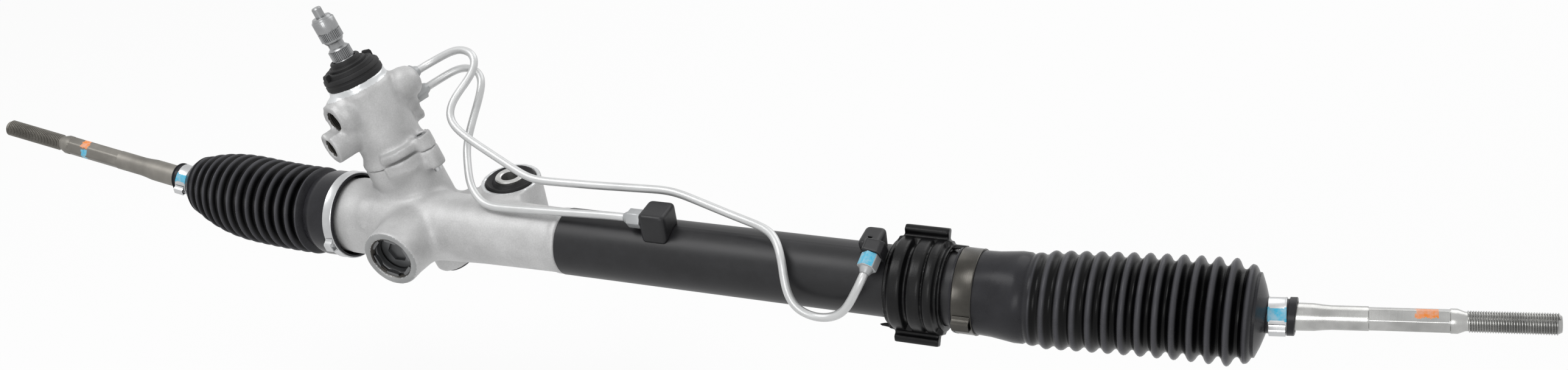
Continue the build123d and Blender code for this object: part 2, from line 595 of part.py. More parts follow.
# ---- mounting bush and block -----------------------------------------------------------------
with BuildPart() as bush_rubber:
    with BuildSketch(BUSH_SIDE):
        with BuildLine():
            Polyline((12.2, -BUSH_HALF + 1), (12.2, BUSH_HALF - 1), (20, BUSH_HALF - 1),
                     (BUSH_R, BUSH_HALF - 2), (BUSH_R, -BUSH_HALF + 2), (20, -BUSH_HALF + 1), close=True)
        make_face()
    revolve(axis=BUSH_AXIS)
bush_rubber.part.label = "bush_rubber"
export_step(bush_rubber.part, "parts/bush_rubber.step")

with BuildPart() as bush_sleeve:
    with BuildSketch(Plane.XY.offset(-BUSH_HALF - 1.5)):
        Circle(12.2)
        Circle(BUSH_BORE_R, mode=Mode.SUBTRACT)
    extrude(amount=2 * BUSH_HALF + 3)
bush_sleeve.part.label = "bush_sleeve"
export_step(bush_sleeve.part, "parts/bush_sleeve.step")

BLOCK_X, BLOCK_END = 344.0, 384.0
LIP_TILT = 33.0                               # block's lips lean back from vertical
with BuildPart() as mount_block:
    around_rack([(BLOCK_X, CYL_R), (BLOCK_X, 31), (BLOCK_END, 31), (BLOCK_END, CYL_R)])
    for rib in range(3):
        rib_x = BLOCK_X + 5 + 12 * rib
        around_rack([(rib_x, 30), (rib_x, 34), (rib_x + 7, 34), (rib_x + 7, 30)])
    with BuildSketch(RACK.offset(BLOCK_X + 5)):
        with Locations(Location((0, 0), -LIP_TILT)):
            Rectangle(7, 86)
        Circle(30, mode=Mode.SUBTRACT)
    extrude(amount=34)
mount_block.part.label = "mount_block"
export_step(mount_block.part, "parts/mount_block.step")

# ---- tie rods and their ball joints ----------------------------------------------------------
SEAT_R = 15.0
FLATS_START, FLATS_LENGTH, FLATS_AF, FLATS_TURN = 146.0, 52.0, 13.6, 45.0
SIDES = {"left": (BALL_LEFT_X, -1, LEFT_PITCH, LEFT_YAW),
         "right": (BALL_RIGHT_X, 1, RIGHT_PITCH, RIGHT_YAW)}


def ball_point(radius, angle):
    """Point of a turned outline about the ball's centre, at an angle from the rod's side."""
    return (radius * cos(radians(angle)), radius * sin(radians(angle)))


for side, (ball_x, outward, pitch, yaw) in SIDES.items():
    ball = Vector(ball_x, RACK_Y, 0)
    rod_way = rod_direction(outward, pitch, yaw)
    seat_way = rod_direction(outward, pitch, 0)
    cup_side = Plane(origin=ball, x_dir=(outward, 0, 0), z_dir=(0, -outward, 0))
    seat_side = Plane(origin=ball, x_dir=seat_way, z_dir=(0, -outward, 0))
    rod_side = Plane(origin=ball, x_dir=rod_way, z_dir=rod_way.cross(Vector(0, 0, 1)))
    mouth = ball_point(SEAT_R + RUN, 54)

    with BuildPart() as socket:
        with BuildSketch(cup_side):
            with BuildLine():
                Polyline((-SEAT_R - RUN, 0), (-44, 0), (-44, 8), (-20, 8), (-20, 15), (-18.5, CUP_R),
                         (7, CUP_R), (10, 17), (10, 14), mouth)
                ThreePointArc(mouth, ball_point(SEAT_R + RUN, 117), (-SEAT_R - RUN, 0))
            make_face()
        revolve(axis=Axis(ball, cup_side.x_dir))
        with BuildSketch(Plane(origin=(ball_x - outward * 21, RACK_Y, 0), x_dir=(0, 1, 0),
                               z_dir=(outward, 0, 0))):
            Circle(CUP_R + 2)
            Rectangle(36, 60, mode=Mode.SUBTRACT)
        extrude(amount=12, mode=Mode.SUBTRACT)
    socket.part.label = f"socket_{side}"
    export_step(socket.part, f"parts/socket_{side}.step")

    with BuildPart() as ball_seat:
        lip_out, lip_in = ball_point(SEAT_R, 56), ball_point(BALL_R + RUN, 48)
        back_out, back_in = ball_point(SEAT_R, 150), ball_point(BALL_R + RUN, 148)
        with BuildSketch(seat_side):
            with BuildLine():
                ThreePointArc(lip_out, ball_point(SEAT_R, 100), back_out)
                Line(back_out, back_in)
                ThreePointArc(back_in, ball_point(BALL_R + RUN, 100), lip_in)
                Line(lip_in, lip_out)
            make_face()
        revolve(axis=Axis(ball, seat_way))
    ball_seat.part.label = f"ball_seat_{side}"
    export_step(ball_seat.part, f"parts/ball_seat_{side}.step")

    with BuildPart() as tie_rod:
        neck = ball_point(BALL_R, 32)
        thread_start = ROD_LENGTH - THREAD_LENGTH
        with BuildSketch(rod_side):
            with BuildLine():
                Polyline((-BALL_R, 0), (ROD_LENGTH, 0), (ROD_LENGTH, THREAD_R - 1),
                         (ROD_LENGTH - 1.2, THREAD_R), (thread_start, THREAD_R),
                         (thread_start - 4, ROD_R - 0.6), (thread_start - 8, ROD_R), (122, ROD_R),
                         (112, 9.2), (78, 9.2), (70, ROD_R), (28, ROD_R), (20, neck[1]), neck)
                ThreePointArc(neck, ball_point(BALL_R, 106), (-BALL_R, 0))
            make_face()
        revolve(axis=Axis(ball, rod_way))
        with BuildSketch(Plane(origin=ball + rod_way * FLATS_START, x_dir=rod_side.z_dir, z_dir=rod_way)):
            Circle(ROD_R + 2)
            Rectangle(FLATS_AF, 40, rotation=FLATS_TURN, mode=Mode.SUBTRACT)
        extrude(amount=FLATS_LENGTH, mode=Mode.SUBTRACT)
    tie_rod.part.label = f"tie_rod_{side}"
    export_step(tie_rod.part, f"parts/tie_rod_{side}.step")

with BuildPart() as lock_washers:
    for end, inward in ((BAR_START, 1), (BAR_END, -1)):
        around_rack([(end, 8), (end, 18), (end - 2 * inward, 18), (end - 2 * inward, 8)])
lock_washers.part.label = "lock_washers"
export_step(lock_washers.part, "parts/lock_washers.step")

# ---- boots and clamps ------------------------------------------------------------------------
CLAMP_AT = 88.0                               # small clamp, from the ball centre along the rod
CUFF_REST = 9.2                               # rod's own seat for the boot's small end
SMALL_CUFF_R = 11.6
WALL = 2.4
BAND = 1.0                                    # thickness of a clamp's band
EAR_AT = 191.0                                # clamp ears, about the rack from +Y


class Boot:
    """Sizes of one bellows boot, from its large cuff outwards."""

    def __init__(self, side, seat_r, cuff_r, cuff_x, folds_x, folds, crest_r, valley_r, band_x):
        self.side, self.seat_r, self.cuff_r = side, seat_r, cuff_r
        self.cuff_x, self.folds_x, self.folds = cuff_x, folds_x, folds
        self.crest_r, self.valley_r, self.band_x = crest_r, valley_r, band_x
        ball_x, self.outward, pitch, yaw = SIDES[side]
        self.ball = Vector(ball_x, RACK_Y, 0)
        self.way = rod_direction(self.outward, pitch, yaw)

    def across(self, x):
        """Plane across the boot at one X, leaning over gently towards the tie rod."""
        start, end = self.folds_x[0], (self.ball + self.way * (CLAMP_AT - 8)).X
        length = abs(end - start)
        share = max(0.0, min(1.0, abs(x - start) / length * (1 if (x - start) * self.outward > 0 else 0)))
        reach = Vector(0, self.way.Y, self.way.Z) * (CLAMP_AT - 8)
        slope = Vector(0, self.way.Y, self.way.Z) * (length / abs(self.way.X))
        bend = reach * (3 * share ** 2 - 2 * share ** 3) + slope * (share ** 3 - share ** 2)
        lean = (reach * (6 * share - 6 * share ** 2) + slope * (3 * share ** 2 - 2 * share)) / length
        return Plane(origin=Vector(x, RACK_Y, 0) + bend, x_dir=(0, 1, 0),
                     z_dir=Vector(self.outward, 0, 0) + lean)

    def across_rod(self, along):
        """Plane across the tie rod at a distance from its ball."""
        return Plane(origin=self.ball + self.way * along, x_dir=(0, 1, 0), z_dir=self.way)

    def outer_rings(self):
        """(plane, radius) of the outer skin: cuff, folds and small end."""
        first, last = self.folds_x
        rings = [(self.across(x), self.cuff_r) for x in self.cuff_x]
        rings.append((self.across(first - self.outward * 6), self.valley_r + 1))
        for step in range(2 * self.folds - 1):
            x = first + (last - first) * step / (2 * self.folds - 2)
            rings.append((self.across(x), self.valley_r if step % 2 else self.crest_r))
        return rings + [(self.across_rod(CLAMP_AT - 8), SMALL_CUFF_R),
                        (self.across_rod(CLAMP_AT + 6), SMALL_CUFF_R)]

    def inner_rings(self):
        """(plane, radius) of the inner skin, from outside the cuff to past the small end."""
        first, last = self.folds_x
        bore = self.valley_r - WALL
        return [(self.across(self.cuff_x[0] - self.outward), self.seat_r),
                (self.across(self.cuff_x[1]), self.seat_r), (self.across(first), bore),
                (self.across(last), bore), (self.across_rod(CLAMP_AT - 7), CUFF_REST + 0.02),
                (self.across_rod(CLAMP_AT + 7), CUFF_REST + 0.02)]


BOOTS = [
    Boot("left", BOOT_SEAT_R, 35.4, (COLLAR_X - 1, -152), (-174, -258), 13, 36.4, 31.0, (-136, -128)),
    Boot("right", CYL_R, 30.0, (388, 416), (442, 592), 14, 34.0, 29.5, (391, 404)),
]
for boot_size in BOOTS:
    side = boot_size.side
    with BuildPart() as boot:
        for plane, radius in boot_size.outer_rings():
            with BuildSketch(plane):
                Circle(radius)
        loft(ruled=True)
        for plane, radius in boot_size.inner_rings():
            with BuildSketch(plane):
                Circle(radius)
        loft(ruled=True, mode=Mode.SUBTRACT)
    boot.part.label = f"boot_{side}"
    export_step(boot.part, f"parts/boot_{side}.step")

    with BuildPart() as large_clamp:
        band_start, band_end = boot_size.band_x
        with BuildSketch(RACK.offset(min(band_start, band_end))):
            Circle(boot_size.cuff_r + BAND)
            with Locations(Location((0, 0), EAR_AT)):
                with Locations((boot_size.cuff_r + 2, 0)):
                    RectangleRounded(6, 10, 1.5)
            Circle(boot_size.cuff_r, mode=Mode.SUBTRACT)
        extrude(amount=abs(band_end - band_start))
    large_clamp.part.label = f"large_clamp_{side}"
    export_step(large_clamp.part, f"parts/large_clamp_{side}.step")

    with BuildPart() as small_clamp:
        with BuildSketch(boot_size.across_rod(CLAMP_AT - 4)):
            Circle(SMALL_CUFF_R + BAND)
            with Locations(Location((0, 0), EAR_AT)):
                with Locations((SMALL_CUFF_R + 1.5, 0)):
                    RectangleRounded(5, 7, 1.2)
            Circle(SMALL_CUFF_R, mode=Mode.SUBTRACT)
        extrude(amount=8)
    small_clamp.part.label = f"small_clamp_{side}"
    export_step(small_clamp.part, f"parts/small_clamp_{side}.step")
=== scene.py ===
from math import cos, exp, pi, radians, sin

import bmesh
import bpy
from bpy.props import FloatProperty, FloatVectorProperty, IntProperty, PointerProperty
from mathutils import Matrix, Vector, noise


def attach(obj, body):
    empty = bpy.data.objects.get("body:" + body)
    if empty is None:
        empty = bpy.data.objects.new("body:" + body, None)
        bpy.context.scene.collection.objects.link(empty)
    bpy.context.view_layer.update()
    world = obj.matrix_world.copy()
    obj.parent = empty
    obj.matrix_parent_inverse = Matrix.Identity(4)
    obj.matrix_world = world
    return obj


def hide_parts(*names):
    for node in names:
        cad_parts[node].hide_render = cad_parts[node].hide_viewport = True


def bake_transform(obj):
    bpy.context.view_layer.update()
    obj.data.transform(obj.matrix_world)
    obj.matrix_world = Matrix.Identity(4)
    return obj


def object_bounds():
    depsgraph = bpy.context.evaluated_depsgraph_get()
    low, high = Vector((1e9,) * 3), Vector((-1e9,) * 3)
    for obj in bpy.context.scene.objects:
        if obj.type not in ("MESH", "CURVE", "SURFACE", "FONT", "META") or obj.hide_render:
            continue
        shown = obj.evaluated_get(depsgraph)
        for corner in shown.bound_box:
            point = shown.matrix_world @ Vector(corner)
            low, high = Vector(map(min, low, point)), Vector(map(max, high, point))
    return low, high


bl_info = {
    "name": "Steering rack",
    "version": (1, 0, 0),
    "blender": (4, 5, 0),
    "location": "3D View > Sidebar > Rack",
    "description": "Dresses a power steering rack with its boots, threads, castings and finishes",
    "category": "Add Mesh",
}

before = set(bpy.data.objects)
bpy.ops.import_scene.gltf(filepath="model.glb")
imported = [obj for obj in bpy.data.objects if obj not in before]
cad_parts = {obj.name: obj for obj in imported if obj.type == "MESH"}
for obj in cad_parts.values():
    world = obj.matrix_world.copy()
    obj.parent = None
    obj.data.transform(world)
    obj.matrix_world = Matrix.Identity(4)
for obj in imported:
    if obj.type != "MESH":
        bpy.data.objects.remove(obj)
CAD_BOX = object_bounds()
MM = 0.001
SHARP = radians(38)                            # edges steeper than this aren't shaded over

# Places in the row frame, in millimetres
RACK_Y = -45.0
SMALL_BANDS = {"left": (74.8, 84.4, 1.5), "right": (84.0, 96.0, 5.5)}   # start, end and the boot's lip
PINION_LEAN = radians(16.4)
PINION_ORIGIN = Vector((-66.0, -28.6, 0.0))
PINION_UP = Vector((-sin(PINION_LEAN), 0.0, cos(PINION_LEAN)))
PINION_OUT = Vector((cos(PINION_LEAN), 0.0, sin(PINION_LEAN)))
PINION_BACK = Vector((0.0, 1.0, 0.0))
RACK_WAY = Vector((1.0, 0.0, 0.0))
GUIDE_X = -60.0
GUIDE_WAY = Vector((0.0, -1.0, 0.0))
BUSH_HEIGHT = 24.0
PAINT_SIDE = Vector((0.0, -0.75, 0.66))         # the side that inspection paint is dabbed on
PAINT_ABOVE = Vector((0.0, 0.66, 0.75))         # square to it, on the upper side
TUBE_R = 26.5
PIPE_R = 3.2
PORTS = {"supply": (-112.0, 107.5, 34.0, 8.25), "return": (-116.0, 90.0, 46.0, 7.25)}
PIPE_ANGLE, PIPE_FACE = 65.0, 35.0
SHORT_BOSS, LONG_BOSS = 91.0, 107.0            # heights of the pipes' bosses along the pinion axis
BALLS = {"left": (-220.0, -1, 15.0, -5.3), "right": (520.0, 1, 4.6, 3.0)}


def linear(code):
    """sRGB hex colour as linear RGBA."""
    channels = [int(code[i:i + 2], 16) / 255 for i in (1, 3, 5)]
    return tuple(c / 12.92 if c <= 0.04045 else ((c + 0.055) / 1.055) ** 2.4 for c in channels) + (1.0,)


# ---- small tools -----------------------------------------------------------------------------
def add_node(tree, kind, settings=None, links=None):
    """Adds a shader node. Settings go to its sockets, its colour stops or its properties, links name
    (node, output), and a socket is named or numbered."""
    node = tree.nodes.new(kind)
    for key, value in (settings or {}).items():
        if key == "stops":
            for stop, (position, colour) in zip(node.color_ramp.elements, value):
                stop.position, stop.color = position, colour
        elif isinstance(key, int) or key in node.inputs.keys():
            node.inputs[key].default_value = value
        else:
            setattr(node, key, value)
    for key, (source, output) in (links or {}).items():
        tree.links.new(source.outputs[output], node.inputs[key])
    return node


def new_material(name):
    """Empty node material and its Object coordinates."""
    material = bpy.data.materials.new(name)
    material.use_nodes = True
    tree = material.node_tree
    tree.nodes.clear()
    return material, tree, (add_node(tree, "ShaderNodeTexCoord"), "Object")


def shade(colour, share, lift=0.0):
    """A linear colour made darker or lighter, still opaque."""
    return tuple(min(1.0, c * share + lift) for c in colour[:3]) + (1.0,)


def placed(name, data):
    """New object in the scene, from its mesh, curve, lamp or camera."""
    holder = bpy.data.objects.new(name, data)
    bpy.context.scene.collection.objects.link(holder)
    return holder


def mesh_from(bm, name):
    """Writes a bmesh to a new mesh and frees it."""
    mesh = bpy.data.meshes.new(name)
    bm.to_mesh(mesh)
    bm.free()
    return mesh


def shape_of(holder):
    """Bmesh of an object's evaluated shape. The object itself is removed."""
    bpy.context.view_layer.update()
    solid = bpy.data.meshes.new_from_object(holder.evaluated_get(bpy.context.evaluated_depsgraph_get()))
    bpy.data.objects.remove(holder)
    bm = bmesh.new()
    bm.from_mesh(solid)
    bpy.data.meshes.remove(solid)
    return bm


def finish_piece(bm, name, material, body=None):
    """Writes a bmesh in metres to an object at the origin and hangs it on its body."""
    bmesh.ops.recalc_face_normals(bm, faces=bm.faces)
    for face in bm.faces:
        face.smooth = True
    mesh = mesh_from(bm, name)
    piece = placed(name, mesh)
    mesh.materials.append(material)
    mesh.set_sharp_from_angle(angle=SHARP)
    if body:
        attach(piece, body)
    return piece


def turned(bm, points, origin, axis, steps=64, close=True):
    """Spins (along, radius) points, in millimetres, about an axis through origin."""
    axis = Vector(axis).normalized()
    side = axis.orthogonal().normalized()
    verts = [bm.verts.new((Vector(origin) + axis * a + side * r) * MM) for a, r in points]
    edges = [bm.edges.new(pair) for pair in zip(verts, verts[1:])]
    if close:
        edges.append(bm.edges.new((verts[-1], verts[0])))
    made = bmesh.ops.spin(bm, geom=verts + edges, cent=Vector(origin) * MM, axis=axis, angle=2 * pi,
                          steps=steps, use_merge=True)
    bmesh.ops.remove_doubles(bm, verts=bm.verts, dist=1e-6)
    return made


def cad_copy(node):
    """Merged bmesh copy of a CAD node."""
    bm = bmesh.new()
    bm.from_mesh(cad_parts[node].data)
    bmesh.ops.remove_doubles(bm, verts=bm.verts, dist=2e-6)
    return bm


def pinion_place(angle, height, reach):
    """Point at a height along the pinion axis and a reach from it, at an angle from +X."""
    turn = radians(angle)
    return PINION_ORIGIN + PINION_UP * height + (PINION_OUT * cos(turn) + PINION_BACK * sin(turn)) * reach


def pinion_facing(angle):
    """Unit vector straight out from the pinion axis at an angle."""
    return pinion_place(angle, 0, 1) - PINION_ORIGIN


def up_pinion(place):
    """How far a point lies along the pinion axis, in millimetres."""
    return (place - PINION_ORIGIN).dot(PINION_UP)


def off_pinion(place):
    """How far a point lies from the pinion axis, in millimetres."""
    return (place - PINION_ORIGIN - PINION_UP * up_pinion(place)).length


def prism(bm, corners, origin, across, up, along, length):
    """Extrudes a closed outline of (across, up) points, in millimetres, along a direction."""
    verts = [bm.verts.new((origin + across * a + up * u) * MM) for a, u in corners]
    face = bm.faces.new(verts)
    made = bmesh.ops.extrude_face_region(bm, geom=[face])["geom"]
    ends = [item for item in made if isinstance(item, bmesh.types.BMVert)]
    bmesh.ops.translate(bm, verts=ends, vec=along * length * MM)
    return verts + ends


def ball(bm, place, radius, squash=(1, 1, 1)):
    """Adds a rounded lump, in millimetres."""
    matrix = Matrix.Translation(place * MM) @ Matrix.Diagonal((*squash, 1))
    bmesh.ops.create_uvsphere(bm, u_segments=20, v_segments=12, radius=radius * MM, matrix=matrix)


def thread(bm, origin, axis, low, high, core, crest, pitch, steps=30):
    """Helical thread between two heights: one closed tooth outline spun along the axis."""
    axis = Vector(axis).normalized()
    side = axis.orthogonal().normalized()
    inner = core - 0.5 * (1 if crest > core else -1)
    outline = [(0.02, inner), (0.02, core), (0.42, crest), (0.58, crest), (0.98, core), (0.98, inner)]
    verts = [bm.verts.new((Vector(origin) + axis * (low + a * pitch) + side * r) * MM) for a, r in outline]
    face = bm.faces.new(verts)
    turns = (high - low) / pitch - 1
    bmesh.ops.spin(bm, geom=[face, *face.edges, *verts], cent=Vector(origin) * MM, axis=axis,
                   dvec=axis * pitch * MM / steps, angle=2 * pi * turns, steps=int(steps * turns))


def paint_faces(piece, material, chosen):
    """Gives a piece a second material on the faces whose centre, in millimetres, is chosen."""
    mesh = piece.data
    mesh.materials.append(material)
    number = len(mesh.materials) - 1
    for face in mesh.polygons:
        if chosen(face.center / MM):
            face.material_index = number


def rod_way(side):
    """Unit vector along a tie rod, away from its ball."""
    ball_x, outward, pitch, yaw = BALLS[side]
    up, turn = radians(pitch), radians(yaw)
    return Vector((outward * cos(up) * cos(turn), cos(up) * sin(turn), sin(up)))


def ball_centre(side):
    """Centre of an inner ball joint, in millimetres."""
    return Vector((BALLS[side][0], RACK_Y, 0.0))


def along_rod(side, place):
    """How far a point lies along a tie rod from its ball, in millimetres."""
    return (place - ball_centre(side)).dot(rod_way(side))


def off_rod(side, place):
    """Vector straight out from a tie rod's axis to a point, in millimetres."""
    return place - ball_centre(side) - rod_way(side) * along_rod(side, place)


# ---- sizes and colours -----------------------------------------------------------------------
class RACK_PG_sizes(bpy.types.PropertyGroup):
    """Sizes of the dressed pieces."""
    cast_voxel: FloatProperty(name="Casting grain", description="Cell size of the cast bodies",
                              default=0.0011, unit="LENGTH")
    thread_pitch: FloatProperty(name="Thread pitch", description="Pitch of the tie rod threads",
                                default=0.0015, unit="LENGTH")
    boot_steps: IntProperty(name="Boot steps", description="Steps around each bellows", default=96)
    boot_wall: FloatProperty(name="Boot wall", description="Wall of the bellows", default=0.0016,
                             unit="LENGTH")


def colour_property(name, text, code):
    """Colour that a user can change."""
    return FloatVectorProperty(name=name, description=text, subtype="COLOR", size=4, default=linear(code),
                               min=0, max=1)


class RACK_PG_colours(bpy.types.PropertyGroup):
    """Main colours, as a user would repaint them."""
    casting: colour_property("Casting", "Die-cast aluminium", "#C2C2C2")
    paint: colour_property("Tube paint", "Satin paint on the tube", "#19191B")
    rubber: colour_property("Rubber", "Moulded boots and bushes", "#121213")
    first_mark: colour_property("First paint mark", "Inspection paint dab", "#38B4D8")
    second_mark: colour_property("Second paint mark", "Inspection paint dab", "#E8842A")


# ---- materials -------------------------------------------------------------------------------
# Noise scales are in cycles a metre, so 1000 is a grain of 1 mm.
DUST = {"Scale": 60.0, "Detail": 5.0, "Roughness": 0.6}        # dust on rubber, in 17 mm drifts
MOULD = {"Scale": 1100.0, "Detail": 2.0}                       # 0.9 mm mould texture of rubber


def noise_over(tree, place, settings):
    """Noise over a place that is fixed to the piece."""
    return add_node(tree, "ShaderNodeTexNoise", settings, {"Vector": place})


def two_tones(tree, share, *stops):
    """Colour that goes from one tone to another with a share."""
    return add_node(tree, "ShaderNodeValToRGB", {"stops": stops}, {"Fac": share}), "Color"


def surface(material, settings, base, patches, rough, grain, bump):
    """Ends a material with its base colour, a roughness range over patches, and a bump of the grain, which
    has a strength and a depth in metres."""
    tree = material.node_tree
    dull = add_node(tree, "ShaderNodeMapRange", {"To Min": rough[0], "To Max": rough[1]},
                    {"Value": (patches, "Fac")})
    relief = add_node(tree, "ShaderNodeBump", {"Strength": bump[0], "Distance": bump[1]},
                      {"Height": (grain, "Fac")})
    shader = add_node(tree, "ShaderNodeBsdfPrincipled", settings,
                      {"Base Color": base, "Roughness": (dull, "Result"), "Normal": (relief, "Normal")})
    add_node(tree, "ShaderNodeOutputMaterial", links={"Surface": (shader, "BSDF")})
    return material


def cast_aluminium(name, colour, roughness, grain=0.16):
    """Die-cast aluminium, shot blasted: a pale, even grey with a fine sandy grain and soft clouding."""
    material, tree, place = new_material(name)
    # clouds some 26 mm across, and 1.1 mm grit, coarser than it is, so that it shows
    cloud = noise_over(tree, place, {"Scale": 38.0, "Detail": 4.0, "Roughness": 0.55})
    grit = noise_over(tree, place, {"Scale": 900.0, "Detail": 3.0, "Roughness": 0.6})
    tone = two_tones(tree, (cloud, "Fac"), (0.3, shade(colour, 0.8)), (0.72, shade(colour, 1.08)))
    speckle = add_node(tree, "ShaderNodeMapRange",
                       {"From Min": 0.3, "From Max": 0.7, "To Min": 0.9, "To Max": 1.06},
                       {"Value": (grit, "Fac")})
    mixed = add_node(tree, "ShaderNodeVectorMath", {"operation": "SCALE"},
                     {"Vector": tone, "Scale": (speckle, "Result")})
    return surface(material, {"Metallic": 0.35}, (mixed, "Vector"), cloud,
                   (roughness - 0.08, roughness + 0.1), grit, (grain, 0.0006))


def bellows_rubber(name):
    """Moulded neoprene bellows: glossy, with painted shade that keeps the grooves black and a painted sheen
    that makes the crests dark grey, made patchy by dust.
    """
    material, tree, place = new_material(name)
    # the crest attribute places a painted sheen on the crests and painted shade in the grooves
    crest = add_node(tree, "ShaderNodeAttribute", {"attribute_name": "crest"})
    dust, skin = noise_over(tree, place, DUST), noise_over(tree, place, MOULD)
    patchy = add_node(tree, "ShaderNodeMapRange", {"To Min": 0.75, "To Max": 1.25}, {"Value": (dust, "Fac")})
    crest_sheen_dust = add_node(tree, "ShaderNodeMath", {"operation": "MULTIPLY"},
                      {0: (crest, "Fac"), 1: (patchy, "Result")})
    # black painted shade in the grooves, dark grey painted sheen on the crests, uneven with drifts of dust
    tone = two_tones(tree, (crest_sheen_dust, "Value"), (0.2, linear("#020203")), (1.0, linear("#4A4A4E")))
    return surface(material, {"IOR": 1.52, "Specular IOR Level": 0.12}, tone, dust, (0.22, 0.34), skin,
                   (0.12, 0.0003))


def mottled(name, settings, broad, fine, stops, rough, bump, fine_rough=False, squeeze=None):
    """A finish in two tones that a broad noise blends, with the grain of a fine one.

    Broad and fine are noise settings, the roughness follows either, and squeeze scales the fine one."""
    material, tree, place = new_material(name)
    patches = noise_over(tree, place, broad)
    if squeeze:
        place = (add_node(tree, "ShaderNodeMapping", {"Scale": squeeze}, {"Vector": place}), "Vector")
    grain = noise_over(tree, place, fine)
    return surface(material, settings, two_tones(tree, (patches, "Fac"), *stops),
                   grain if fine_rough else patches, rough, grain, bump)


def moulded_rubber(name, colour, roughness, texture=0.12, sheen=0.3):
    """Moulded rubber or soft plastic: near black, a little dusty in the broad, with a sharp sheen."""
    return mottled(name, {"IOR": 1.52, "Specular IOR Level": sheen}, DUST, MOULD,
                   ((0.4, tuple(colour)), (0.85, shade(colour, 2.1, 0.002))),
                   (roughness - 0.07, roughness + 0.12), (texture, 0.0003))


def turned_metal(name, colour, roughness, axis, metallic=1.0, line=1800.0, stain=0.8):
    """Turned or drawn metal: fine tool lines around its axis and slightly uneven oiling."""
    squeeze = {"X": (line, 12.0, 12.0), "Y": (12.0, line, 12.0), "Z": (12.0, 12.0, line)}[axis]
    return mottled(name, {"Metallic": metallic},
                   {"Scale": 55.0, "Detail": 4.0},                             # oil in 18 mm patches
                   {"Scale": 1.0, "Detail": 3.0, "Roughness": 0.7},            # tool lines about 0.6 mm apart
                   ((0.35, shade(colour, stain)), (0.7, tuple(colour))),
                   (roughness - 0.08, roughness + 0.12), (0.12, 0.0002), fine_rough=True, squeeze=squeeze)


def satin_paint(name, colour, roughness):
    """Satin black stoving paint on drawn tube: slight orange peel and a few rubbed places."""
    return mottled(name, {"IOR": 1.5, "Specular IOR Level": 0.35},
                   {"Scale": 26.0, "Detail": 7.0, "Roughness": 0.7},           # rubbed places, 38 mm
                   {"Scale": 420.0, "Detail": 2.0},                            # orange peel, 2.4 mm
                   ((0.45, tuple(colour)), (0.75, shade(colour, 1.9))),
                   (roughness - 0.08, roughness + 0.1), (0.08, 0.0004))


def coated_pipe(name, colour, roughness):
    """Metal-flake coating on drawn steel: pale, even and satin, with faint handling marks."""
    return mottled(name, {"Metallic": 0.45},
                   {"Scale": 45.0, "Detail": 3.0},                             # handling marks, 22 mm
                   {"Scale": 1400.0, "Detail": 2.0},                           # 0.7 mm flakes
                   ((0.3, shade(colour, 0.86)), (0.7, tuple(colour))),
                   (roughness - 0.06, roughness + 0.1), (0.06, 0.0002), fine_rough=True)


def brushed_paint(name, colour):
    """Inspection paint brushed on thin: the metal shows through at the edges of the stroke."""
    material, tree, place = new_material(name)
    stroke = noise_over(tree, place, {"Scale": 240.0, "Detail": 4.0, "Roughness": 0.7})   # brush marks, 4 mm
    tone = two_tones(tree, (stroke, "Fac"), (0.38, shade(colour, 0.6, 0.25)), (0.62, tuple(colour)))
    shader = add_node(tree, "ShaderNodeBsdfPrincipled", {"Roughness": 0.42, "IOR": 1.5}, {"Base Color": tone})
    add_node(tree, "ShaderNodeOutputMaterial", links={"Surface": (shader, "BSDF")})
    return material


FINISH = {}


